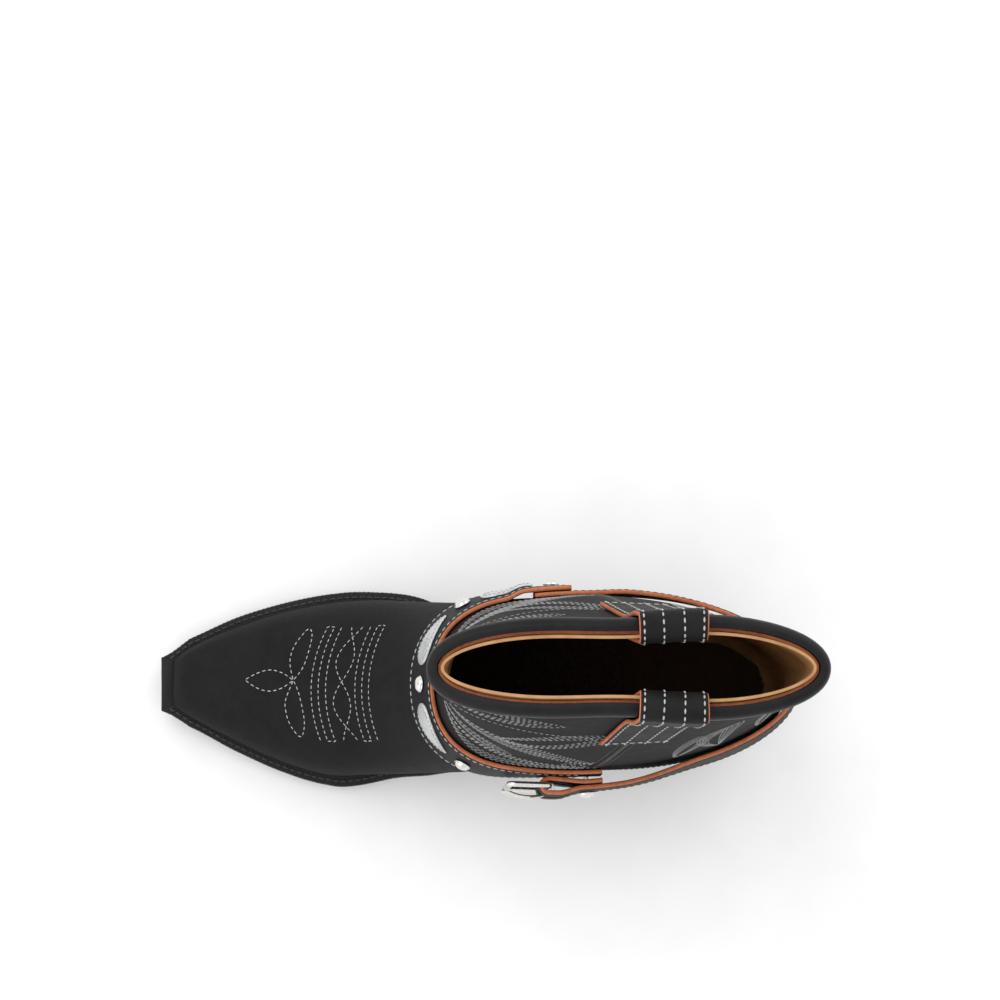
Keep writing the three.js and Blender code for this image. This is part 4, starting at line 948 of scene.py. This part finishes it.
def on_strap(distance, across, depth):
    """A point on the strap: distance round the ankle from the front, across from -0.5 to 0.5."""
    distance, across, depth = np.broadcast_arrays(*(np.asarray(v, float) for v in (distance, across, depth)))
    turn = np.interp(np.mod(distance, GIRTH[-1]), GIRTH, GIRTH_TURNS)
    u = height_at(turn, strap_centre(turn))
    point = last_point(u, turn)
    ahead = unit(middle_line(turn + 0.004) - middle_line(turn - 0.004))
    up = unit(np.cross(ahead, last_normal(u, turn)))
    target = point + up * (across * STRAP_WIDTH)[..., None]
    step = 1e-3
    for _ in range(6):
        p = last_point(u, turn)
        a = (last_point(u + step, turn) - p) / step
        b = (last_point(u, turn + step) - p) / step
        r = target - p
        aa, ab, bb = (np.sum(v * w, -1) for v, w in ((a, a), (a, b), (b, b)))
        ar, br = np.sum(a * r, -1), np.sum(b * r, -1)
        scale = 1 / (aa * bb - ab * ab)
        u = u + (ar * bb - br * ab) * scale
        turn = turn + (br * aa - ar * ab) * scale
    return last_point(u, turn) + last_normal(u, turn) * depth[..., None]


HALF = STRAP / 2
PLY = (STRAP_CLEAR + HALF, STRAP_CLEAR + STRAP + GAP + HALF)
BUCKLE_AT = -3.45 * PITCH
BAR_AT = BUCKLE_AT - (BUCKLE_LENGTH - BUCKLE_BAR) / 2
EYE = BUCKLE_BAR * 0.71 + GAP
LOOP = EYE + HALF
BAR_DEPTH = PLY[1] + LOOP
CHAPE_STUD = BAR_AT - 0.9 * PITCH
MEET = PLY[1] + STRAP * 0.45
JOIN_STUD = 4 * PITCH
JOIN = 9


def strap_axes(distance, depth, point_of=on_strap):
    """Axes at a place on the strap, in millimetres: X along it, Y down across it, Z outwards."""
    ahead = unit(point_of(distance + 1, 0, depth) - point_of(distance - 1, 0, depth))
    drop = unit(point_of(distance, -0.5, depth) - point_of(distance, 0.5, depth))
    out = unit(np.cross(ahead, drop))
    down = np.cross(out, ahead)
    return np.stack([ahead, down, out], -1), point_of(distance, 0, depth)


BUCKLE_AXES, BUCKLE_CENTRE = strap_axes(BUCKLE_AT, BAR_DEPTH)


def in_buckle(points):
    return np.asarray(points, float) @ BUCKLE_AXES.T + BUCKLE_CENTRE


def flat_at_bar(distance, across, depth):
    """Near the buckle's bar the rear strap lies flat in the buckle's own plane."""
    distance, across, depth = np.broadcast_arrays(*(np.asarray(v, float) for v in (distance, across, depth)))
    flat = in_buckle(np.stack([distance - BUCKLE_AT, -across * STRAP_WIDTH, depth - BAR_DEPTH], -1))
    share = 1 - smooth(9, 30, np.abs(distance - BAR_AT))
    return mix(on_strap(distance, across, depth), flat, share[..., None])


STRAP_WALL = np.array([0.42, 0.86, 1, 1, 1, 1, 1, 1, 0.86, 0.42])  # half thickness, eased to the edges
STRAP_EDGES = (0, 8, 9, 10, 18, 19)  # the places of its section that show the cut edge


def wrap_strap(name, rows, out, thick, materials):
    """Closes a strap's skin round its middle rows; its cut edges are the second material."""
    wall = out * (thick / 2 * STRAP_WALL)[None, :, None]
    piece = loft(name, np.concatenate([rows + wall, (rows - wall)[:, ::-1]], 1), materials,
                 slot_of=lambda r, i: 1 if i in STRAP_EDGES or i < 0 else 0)
    smooth_shade(piece, 55)
    return piece


def strap_band(name, distances, depths, thick, materials, point_of=on_strap):
    """A strap with softly rounded edges, from the distances and depths of its middle line."""
    across = np.array([-0.5, -0.485, -0.46, -0.3, -0.1, 0.1, 0.3, 0.46, 0.485, 0.5])
    rows = point_of(distances[:, None], across[None], depths[:, None])
    ahead = unit(np.gradient(rows, axis=0))
    up = unit(rows[:, -1] - rows[:, 0])[:, None]
    out = unit(np.cross(ahead, np.broadcast_to(up, rows.shape)))
    return wrap_strap(name, rows, out, thick, materials)


def front_depth(distance):
    return mix(PLY[0], PLY[1], smooth(JOIN_STUD - 2.4 * JOIN, JOIN_STUD - 1.3 * JOIN, distance))


def build_front_strap():
    distance = np.arange(CHAPE_STUD - 6, JOIN_STUD + JOIN, 1.5)
    piece = strap_band("harness_front", distance, front_depth(distance), STRAP, [STRAP_BLACK, TERRACOTTA])
    settle(piece, "strap_leather", "harness_front_strap")


def rear_depth(distance):
    pressed = mix(MEET + STRAP + GAP, BAR_DEPTH + LOOP, smooth(CHAPE_STUD + 2, BAR_AT - 4, distance))
    bulge = smooth(JOIN + 4, JOIN + 26, distance + GIRTH[-1] - JOIN_STUD)
    return mix(PLY[0] + bulge, pressed, smooth(CHAPE_STUD - 52, CHAPE_STUD - 8, distance))


def build_rear_strap():
    tail = np.arange(CHAPE_STUD - 6, BAR_AT, 1.3)
    tail_depth = mix(MEET, PLY[1], smooth(CHAPE_STUD, BAR_AT, tail))
    angle = np.linspace(0, math.pi, 15)[1:-1]
    back = np.arange(BAR_AT, JOIN_STUD - JOIN - GIRTH[-1], -1.8)
    distance = np.concatenate([tail, BAR_AT + LOOP * np.sin(angle), back])
    depth = np.concatenate([tail_depth, BAR_DEPTH - LOOP * np.cos(angle), rear_depth(back)])
    piece = strap_band("harness_rear", distance, depth, STRAP, [STRAP_BLACK, TERRACOTTA], flat_at_bar)
    cut_slot(piece)
    settle(piece, "strap_leather", "harness_rear_strap")


def cut_slot(strap):
    """The long slot in the fold that the prong's eye sits in."""
    bpy.ops.object.select_all(action="DESELECT")
    bpy.ops.mesh.primitive_cube_add(size=1)
    cutter = bpy.context.object
    size = np.array([EYE + 12, PRONG_WIDTH + 2 * GAP + 0.6, 4 * LOOP])
    middle = np.array([BAR_AT - BUCKLE_AT - 3, 0, 0])
    for vert in cutter.data.vertices:
        vert.co = to_row(in_buckle(np.array(vert.co) * size + middle))
    face_outwards(cutter)
    finish_with(strap, "BOOLEAN", object=cutter, operation="DIFFERENCE", solver="EXACT")
    bpy.data.objects.remove(cutter)
    smooth_shade(strap, 55)


def pull_path():
    """A pull strap's middle line as (depth outside the surface, height above the collar) rows."""
    half = PULL / 2
    inside = -(FACING_AT + LINING + 2 * GAP + half)
    lying = GAP + half
    outside = COLLAR_ROLL + GAP + half
    radius = (outside - inside) / 2
    angle = np.pi * (1 - np.arange(9) / 8)
    crest = np.stack([(inside + outside) / 2 + radius * np.cos(angle),
                      PULL_CREST - half - radius + radius * np.sin(angle)], -1)
    return np.array([
        (inside, -PULL_INNER_LEG), (inside, -PULL_INNER_LEG / 2), (inside, -2), *crest, (outside, -5),
        (mix(lying, outside, 0.55), -11), (lying, -18),
        (lying, -PULL_OUTER_LEG * 0.7), (lying, -PULL_OUTER_LEG),
    ])


def on_pull(side, path, across):
    z = collar_line(SEAM_HEAD[0]) + np.minimum(path[:, 1], 0)[:, None] + np.zeros((1, len(across)))
    x = seam_x(z) + across[None] * PULL_WIDTH
    points, out = on_side(side, x, z)
    points = points + out * path[:, 0][:, None, None]
    points[..., 2] += np.maximum(path[:, 1], 0)[:, None]
    return points


def build_pull_strap(side, word):
    path = curve_through(pull_path(), 1.0)
    across = np.array([-0.5, -0.485, -0.43, -0.15, -0.05, 0.05, 0.15, 0.43, 0.485, 0.5])
    rows = on_pull(side, path, across)
    ahead = unit(np.gradient(rows, axis=0))
    sideways = unit(np.gradient(rows, axis=1))
    out = unit(np.cross(sideways, ahead)) * side
    piece = wrap_strap(f"pull_loop_{word}", rows, out, PULL, [STRAP_BLACK, TERRACOTTA])
    settle(piece, "black_leather", f"pull_strap_{word}")
    return rows, out


def sew_pull_strap(rows, out, word):
    """Four rows along the strap on its outer face, and one across its foot."""
    seams = []
    for column in (2, 3, 6, 7):
        seams.append((rows[:, column] + out[:, column] * PULL / 2, out[:, column]))
    foot = -4
    seams.append((rows[foot] + out[foot] * PULL / 2, out[foot]))
    sew(f"pull_stitches_{word}", seams, stitch=2.3, gap=1.0, radius=0.4)


# ---- Metal and silver trim ----
def place_in(piece, axes, centre):
    """Carries a piece from its own axes, in millimetres, to its place on the boot."""
    points = np.array([v.co for v in piece.data.vertices]) @ axes.T + centre
    piece.data.vertices.foreach_set("co", to_row(points).ravel())
    piece.data.update()
    face_outwards(piece)


def build_stud(name, node, distance, depth, plies, point_of=on_strap):
    """A domed head with a rolled rim, on a shank through the strap."""
    bpy.ops.object.select_all(action="DESELECT")
    head = STUD_HEAD / 2
    bpy.ops.mesh.primitive_uv_sphere_add(segments=40, ring_count=24, radius=1)
    piece = bpy.context.object
    piece.name = name
    bpy.ops.object.mode_set(mode="EDIT")
    bpy.ops.mesh.bisect(plane_co=(0, 0, 0.001), plane_no=(0, 0, 1), use_fill=True, clear_inner=True)
    bpy.ops.mesh.select_all(action="SELECT")
    bpy.ops.transform.resize(value=(head * 0.93, head * 0.93, 2.35), center_override=(0, 0, 0))
    bpy.ops.transform.translate(value=(0, 0, GAP + 0.35))
    bpy.ops.object.mode_set(mode="OBJECT")
    bpy.ops.mesh.primitive_torus_add(major_radius=head * 0.9, minor_radius=0.42, major_segments=48,
                                     minor_segments=12, location=(0, 0, GAP + 0.42))
    rim = bpy.context.object
    deep = plies * STRAP + (plies - 1) * GAP
    bpy.ops.mesh.primitive_cylinder_add(vertices=20, radius=STUD_SHANK / 2, depth=deep + 0.6,
                                        location=(0, 0, 0.3 - deep / 2))
    shank = bpy.context.object
    bpy.ops.object.select_all(action="DESELECT")
    for part in (rim, shank, piece):
        part.select_set(True)
    bpy.context.view_layer.objects.active = piece
    bpy.ops.object.transform_apply(location=True, rotation=True, scale=True)
    bpy.ops.object.join()
    piece.data.materials.clear()
    piece.data.materials.append(NICKEL)
    axes, centre = strap_axes(distance, depth, point_of)
    place_in(piece, axes, centre)
    smooth_shade(piece, 45)
    settle(piece, "nickel", node)


def drop_outline():
    """A drop's closed outline in its own plane: pointed at -X and round at +X."""
    long = INLAY_LENGTH / 2
    wide = INLAY_WIDTH / 2
    t = np.linspace(0, 1, 12)[:, None]

    def bow(a, b, c):
        return (1 - t) ** 2 * np.array(a) + 2 * t * (1 - t) * np.array(b) + t**2 * np.array(c)

    one = bow((-long, 0), (-long * 0.2, -wide * 1.05), (long * 0.45, -wide))[:-1]
    two = bow((long * 0.45, -wide), (long, -wide * 0.8), (long, 0))[:-1]
    half = np.concatenate([one, two])
    other = half[::-1] * (1, -1)
    return np.concatenate([half, [(long, 0)], other[:-1]])


def build_inlay(name, node, at, flip):
    """A silver leather drop, sewn round its edge onto the strap."""
    outline = drop_outline() * flip

    def lay(points, lift):
        distance = at + points[:, 0]
        across = -points[:, 1] / STRAP_WIDTH
        depth = front_depth(distance) + HALF + GAP + lift
        return on_strap(distance, across, depth)

    rings = [lay(outline, 0), lay(outline, INLAY * 0.55), lay(outline * 0.965, INLAY * 0.9)]
    rings += [lay(outline * s, INLAY + 0.25 * (1 - s * s)) for s in (0.88, 0.72, 0.5, 0.28, 0.1, 0.01)]
    piece = loft(name, rings, [SILVER])
    smooth_shade(piece, 50)
    settle(piece, "silver_leather", node)
    edge = np.concatenate([outline, outline[:1]]) * 0.87
    path = lay(edge, INLAY + 0.06)
    beneath = lay(edge, 0)
    sew(f"{name}_stitches", [(path, unit(path - beneath))], stitch=1.5, gap=0.6, radius=0.3,
        slot="silver_leather")


def build_buckle_frame():
    """A rounded rail swept round the frame's outline; the heel bar is round for the strap."""
    height = STRAP_WIDTH + 2 * (BUCKLE_RAIL + 1)
    x = BUCKLE_LENGTH / 2
    y = height / 2
    corner = 4.2
    path = []
    for cx, cy, start in ((x - corner, y - corner, 0), (-x + corner, y - corner, 90),
                          (-x + corner, -y + corner, 180), (x - corner, -y + corner, 270)):
        for angle in np.radians(np.linspace(start, start + 90, 9)):
            path.append((cx + corner * math.cos(angle), cy + corner * math.sin(angle)))
    path = np.array(path)
    inward = unit(-np.stack([np.sign(path[:, 0]) * np.maximum(np.abs(path[:, 0]) - x + corner, 0),
                             np.sign(path[:, 1]) * np.maximum(np.abs(path[:, 1]) - y + corner, 0)], -1))
    heel = path[:, 0] < -x + 0.6
    width = np.where(heel, BUCKLE_BAR, BUCKLE_RAIL)
    ring = []
    for share, lift in ((0.08, -0.3), (0.0, 0.0), (0.08, 0.3), (0.25, 0.47), (0.5, 0.5), (0.75, 0.44),
                        (0.94, 0.28), (1.0, 0.0), (0.94, -0.28), (0.75, -0.46), (0.5, -0.5), (0.25, -0.47)):
        flat = path + inward * (width * share)[:, None]
        z = np.full((len(path), 1), lift * BUCKLE_BAR)
        ring.append(np.concatenate([flat, z], -1))
    rings = in_buckle(np.stack(ring, 1))
    piece = loft("buckle_rails", rings, [NICKEL], closed=True)
    smooth_shade(piece, 50)
    settle(piece, "nickel", "buckle_frame", body="buckle_frame")


def build_prong():
    """An eye round the heel bar and a tongue that arches to the front rail."""
    bar = np.array([BAR_AT - BUCKLE_AT, 0, 0])
    tip = BUCKLE_LENGTH - BUCKLE_BAR / 2 + 1.5
    rest = BUCKLE_BAR / 2 + GAP
    eye_out = EYE + 1.3
    low = np.array([(0, EYE + 0.3), (tip * 0.3, EYE + 1.6), (tip * 0.6, EYE + 1.3),
                    (tip - 3, rest + 0.1), (tip - 0.4, rest)])
    high = np.array([(-0.4, eye_out - 0.1), (tip * 0.3, EYE + 3.4), (tip * 0.6, EYE + 3.1),
                     (tip - 3, rest + 2.3), (tip, rest + 1.5)])
    at = np.linspace(0, 4, 33)
    under_side = spline(low, at)
    top_side = spline(high, at)
    half = PRONG_WIDTH / 2 * mix(1, 0.62, smooth(0, 4, at))
    rings = []
    for share, lift in ((-1, 0.15), (-0.92, 0.0), (0.92, 0.0), (1, 0.15),
                        (1, 0.85), (0.8, 1), (-0.8, 1), (-1, 0.85)):
        flat = mix(under_side, top_side, lift)
        rings.append(np.stack([flat[:, 0], share * half, flat[:, 1]], -1) + bar)
    tongue = loft("buckle_tongue", in_buckle(np.stack(rings, 1)), [NICKEL])
    smooth_shade(tongue, 50)
    angle = np.linspace(0, 2 * math.pi, 33)[:-1]
    middle = (EYE + eye_out) / 2
    thick = (eye_out - EYE) / 2
    section = []
    for y, r in ((-1, -0.8), (-0.85, -1), (0.85, -1), (1, -0.8), (1, 0.8), (0.85, 1), (-0.85, 1), (-1, 0.8)):
        radius = middle + thick * r
        section.append(np.stack([radius * np.cos(angle), np.full(32, y * PRONG_WIDTH / 2),
                                 radius * np.sin(angle)], -1) + bar)
    eye = loft("buckle_eye", in_buckle(np.stack(section, 1)), [NICKEL], closed=True)
    smooth_shade(eye, 50)
    settle(tongue, "nickel", "buckle_prong", body="buckle_prong")
    settle(eye, "nickel", body="buckle_prong")


def build_trim():
    outer_face = STRAP_CLEAR + STRAP
    build_stud("stud_dome_front", "stud_front", 0.0, outer_face, 1)
    build_stud("stud_dome_outer", "stud_front_outer", -2 * PITCH, outer_face, 1)
    build_stud("stud_dome_inner", "stud_front_inner", 2 * PITCH, outer_face, 1)
    build_stud("stud_dome_join", "stud_strap_join", JOIN_STUD, PLY[1] + HALF, 2)
    build_stud("stud_dome_chape", "stud_chape", CHAPE_STUD, MEET + 2 * STRAP + GAP - HALF, 3, flat_at_bar)
    build_inlay("inlay_drop_outer", "inlay_front_outer", -PITCH, 1)
    build_inlay("inlay_drop_inner", "inlay_front_inner", PITCH, -1)
    build_inlay("inlay_drop_side", "inlay_side_inner", 3 * PITCH, -1)


# ---- Decorative and holding seams ----
def on_vamp(plan):
    """Lifts plan points (x, y) onto the top of the vamp."""
    u = np.full(len(plan), 0.35)
    turn = np.where(plan[:, 1] > 2, 0.1, 0.9)
    step = 1e-3
    for _ in range(40):
        p = last_point(u, turn)
        a = (last_point(u + step, turn) - last_point(u - step, turn))[:, :2] / (2 * step)
        b = (last_point(u, turn + step) - last_point(u, turn - step))[:, :2] / (2 * step)
        r = plan - p[:, :2]
        det = a[:, 0] * b[:, 1] - a[:, 1] * b[:, 0]
        det = np.where(np.abs(det) < 1e-3, 1e-3, det)
        du = (r[:, 0] * b[:, 1] - r[:, 1] * b[:, 0]) / det
        dt = (a[:, 0] * r[:, 1] - a[:, 1] * r[:, 0]) / det
        u = np.clip(u + np.clip(du, -0.03, 0.03), 0.02, 0.6)
        turn = turn + np.clip(dt, -0.03, 0.03)
    return last_point(u, turn), last_normal(u, turn)


TOE_CENTRE = 2.5


def toe_arc(x, low=-28.0, high=24.6):
    """A line across the toe, bowed towards the tip."""
    y = np.linspace(low, high, 40)
    return np.stack([x + 0.0083 * (y + 5) ** 2, y], -1)


def serpentine(places, first_end):
    """Bowed lines sewn in one run, turning back at alternate ends."""
    lines = [toe_arc(x) for x in places]
    return np.concatenate([line[::-1] if (k + first_end) % 2 else line for k, line in enumerate(lines)])


def toe_rows():
    """The toe's pattern in plan: three petals, two groups of bowed lines and a twist between them."""
    rows = [curve_through([(63.6, 0), (58, side * 3.6), (52, side * 4.9), (46, side * 3.2), (40.7, 0.4)])
            for side in (1, -1)]
    rows.append(curve_through([(63.6, 0), (61.9, 8.4), (63.7, 15.7), (67.9, 21.7), (70.8, 24), (72, 20.4),
                               (70.4, 12.5), (67.9, 5.6), (63.6, 0)]))
    rows.append(curve_through([(63.6, 0), (60.3, -8), (59.8, -12.2), (61.4, -19), (65, -24.6), (67.6, -25.6),
                               (68.8, -20), (67.9, -13.2), (66, -5.4), (63.6, 0)]))
    rows += [serpentine((72, 75.3, 78.8), 0), serpentine((92.6, 95.8, 99), 1)]
    for phase in (1, -1):
        twist = toe_arc(86.2)
        twist[:, 0] += phase * 4 * np.sin(math.pi * (twist[:, 1] + 1) / 20.5)
        rows.append(twist)
    return [row + (0, TOE_CENTRE) for row in rows]


def leaf(root, tip, belly, bend, rows, step=0.17):
    """Nested leaf outlines in the side view, each a closed run from the root round the tip."""
    root, tip = np.array(root, float), np.array(tip, float)
    ahead = tip - root
    aside = np.array([-ahead[1], ahead[0]]) / np.linalg.norm(ahead)
    t = np.linspace(0, 1, 36)[:, None]
    made = []
    for k in range(rows):
        shrink = k * step
        s = mix(0.0, 1 - 0.45 * shrink, t)
        spine = root + ahead * s + aside * bend * np.sin(math.pi * s)
        width = belly * (1 - shrink) * np.sin(math.pi * np.clip(t, 0, 1)) ** 0.75
        upper = spine + aside * width
        lower = spine - aside * width
        made.append(np.concatenate([upper, lower[::-1]]))
    return made


SHAFT_TURNS = np.linspace(0, 0.5, 121)
SHAFT_ROUND = last_point(height_at(SHAFT_TURNS, 150.0), SHAFT_TURNS)
SHAFT_RUN = np.concatenate([[0], np.cumsum(np.linalg.norm(np.diff(SHAFT_ROUND, axis=0), axis=1))])


def on_shaft(side, row):
    """Lays a row of (round, height) points on the shaft, round being measured from the front middle."""
    turn = np.interp(row[:, 0], SHAFT_RUN, SHAFT_TURNS)
    turn = turn if side > 0 else 1 - turn
    u = height_at(turn, row[:, 1])
    return last_point(u, turn), last_normal(u, turn)


def flame_rows():
    """One side of the shaft's flames, before and behind the side seam, as (round, height) rows."""
    front = [curve_through([(6, 186), (34, 190), (64, 181), (94, 166)])]
    front += leaf((38, 164), (91, 172), 9, 3, 4)
    front += leaf((14, 176), (82, 126), 6, 5, 5, step=0.2)
    front += leaf((10, 154), (48, 126), 6, 3, 4, step=0.2)
    front += leaf((8, 132), (86, 110), 8, -3, 5)
    front += leaf((6, 202), (62, 194), 6, 3, 4, step=0.2)
    for shift in (0, 4, 8):
        wave = [(68 + shift, 110), (72 + shift, 117), (69 + shift, 124), (75 + shift, 131)]
        front.append(curve_through(wave))
    back = leaf((118, 112), (126, 158), 6, -3, 4, step=0.2)
    back += leaf((137, 110), (141, 178), 8, 4, 5)
    back += leaf((156, 110), (159, 160), 6, -3, 4, step=0.2)
    return front, back


def sew_upper():
    rows = [on_vamp(row) for row in toe_rows()]
    sew("toe_stitches", rows, stitch=1.8, gap=0.9, radius=0.24)
    front, back = flame_rows()
    for side, word in ((1, "inner"), (-1, "outer")):
        sew(f"flame_front_{word}", [on_shaft(side, row) for row in front],
            thread=GREY_THREAD, stitch=1.7, gap=0.8, radius=0.26)
        sew(f"flame_back_{word}", [on_shaft(side, row) for row in back],
            thread=GREY_THREAD, stitch=1.7, gap=0.8, radius=0.26)
        seams = []
        for inset in (2.0, 4.2):
            x = np.linspace(COUNTER_FOOT + 1, LENGTH * 0.97, 70)
            seams.append(on_side(side, x, counter_top(x) - inset))
            x = np.linspace(COUNTER_FOOT - 1, 0.475 * LENGTH, 50)
            seams.append(on_side(side, x, vamp_top(x) - inset))
        z = np.linspace(SEAM_FOOT[1] + 12, HEIGHT - 12, 90)
        for offset in (-3.4, 3.4):
            seams.append(on_side(side, seam_x(z) + offset, z))
        sew(f"panel_seams_{word}", seams, thread=BLACK_THREAD, stitch=1.8, gap=0.7, radius=0.3)


def sew_strap():
    rows = []
    distance = np.arange(CHAPE_STUD + 4, JOIN_STUD + JOIN - 2, 1.2)
    face = front_depth(distance) + HALF
    for across in (-0.42, 0.42):
        path = on_strap(distance, across, face)
        rows.append((path, unit(path - on_strap(distance, across, face - 1))))
    sew("strap_front_stitches", rows, stitch=2.2, gap=1.0, radius=0.34, slot="strap_leather")
    rows = []
    distance = np.arange(BAR_AT - 6, JOIN_STUD - JOIN - GIRTH[-1] + 2, -1.2)
    face = rear_depth(distance) + HALF
    for across in (-0.42, 0.42):
        path = flat_at_bar(distance, across, face)
        rows.append((path, unit(path - flat_at_bar(distance, across, face - 1))))
    sew("strap_rear_stitches", rows, thread=BLACK_THREAD, stitch=2.2, gap=1.0, radius=0.22,
        slot="strap_leather")


def sew_welt():
    breast = BREAST / (LENGTH - 2)
    top = OUTSOLE + GAP + WELT
    side = np.linspace(0.004, breast - 0.02, 300)
    rows = []
    for sign in (1, -1):
        flat = edge_point(sign, side, 2.7)
        path = np.concatenate([flat, (sole_bottom(flat[:, 0]) + top)[:, None]], -1)
        rows.append((path, np.tile([0.0, 0, 1], (len(path), 1))))
    sew("welt_stitches", rows, thread=BLACK_THREAD, stitch=2.6, gap=0.9, radius=0.45, slot="sole_leather")


# ---- Camera, light and floor ----
def build_stage():
    """A pale floor and soft daylight from above."""
    bpy.ops.mesh.primitive_plane_add(size=8, location=(0, 0, -0.0005))
    floor = bpy.context.object
    floor.name = "floor"
    finish, tree, shader, place = new_finish("Pale floor", Roughness=0.9)
    tone = use(tree, MOTTLE, Place=place, Broad=3.0, Fine=40.0).outputs["Tone"]
    tone_colour(tree, shader, tone, (0.86, 0.86, 0.86), (0.9, 0.9, 0.9))
    floor.data.materials.append(finish)
    world = bpy.data.worlds.new("Daylight")
    bpy.context.scene.world = world
    world.use_nodes = True
    world.node_tree.nodes["Background"].inputs["Color"].default_value = (1, 1, 1, 1)
    world.node_tree.nodes["Background"].inputs["Strength"].default_value = 1.0
    for name, place, energy, size in (("Overhead", (-0.9, 0.8, 1.6), 12, 1.6),
                                      ("Side", (-1.3, -0.9, 0.9), 6, 1.4),
                                      ("Back", (1.1, 1.0, 0.9), 6, 1.4)):
        lamp = bpy.data.lights.new(name, "AREA")
        lamp.energy = energy
        lamp.size = size
        light = bpy.data.objects.new(name, lamp)
        light.location = place
        light.rotation_euler = (-Vector(place)).to_track_quat("-Z", "Y").to_euler()
        bpy.context.collection.objects.link(light)
    bpy.context.scene.view_settings.view_transform = "Standard"


def build_camera():
    camera = bpy.data.cameras.new("camera")
    camera.lens = 113.8
    viewer = bpy.data.objects.new("camera", camera)
    viewer.location = (0.012, -0.0414, 1.5)
    viewer.rotation_euler = (math.radians(5.12), 0, 0)
    bpy.context.collection.objects.link(viewer)
    bpy.context.scene.camera = viewer


def dress_hidden_parts():
    """The inner pieces keep their CAD shape and get their own finishes; the insole and the heel sock, seen
    down the shaft, are darkened nearly to black as painted shade.
    """
    finishes = {
        "cork_filler": CORK, "steel_shank": STEEL, "insole": INSOLE_PAINTED_SHADE, "heel_pad": HEEL_SOCK_PAINTED_SHADE,
        "toe_box": BOARD,
        "heel_counter": BOARD, "heel_nail_1": STEEL, "heel_nail_2": STEEL, "heel_nail_3": STEEL,
    }
    for node, finish in finishes.items():
        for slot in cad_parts[node].material_slots:
            slot.material = finish


build_camera()
build_stage()
dress_hidden_parts()
build_sole()
build_heel()
build_upper()
build_lining()
build_collar_roll()
build_piping()
build_front_strap()
build_rear_strap()
for pull_side, pull_word in ((1, "inner"), (-1, "outer")):
    pull_rows, pull_out = build_pull_strap(pull_side, pull_word)
    sew_pull_strap(pull_rows, pull_out, pull_word)
build_trim()
build_buckle_frame()
build_prong()
sew_upper()
sew_strap()
sew_welt()
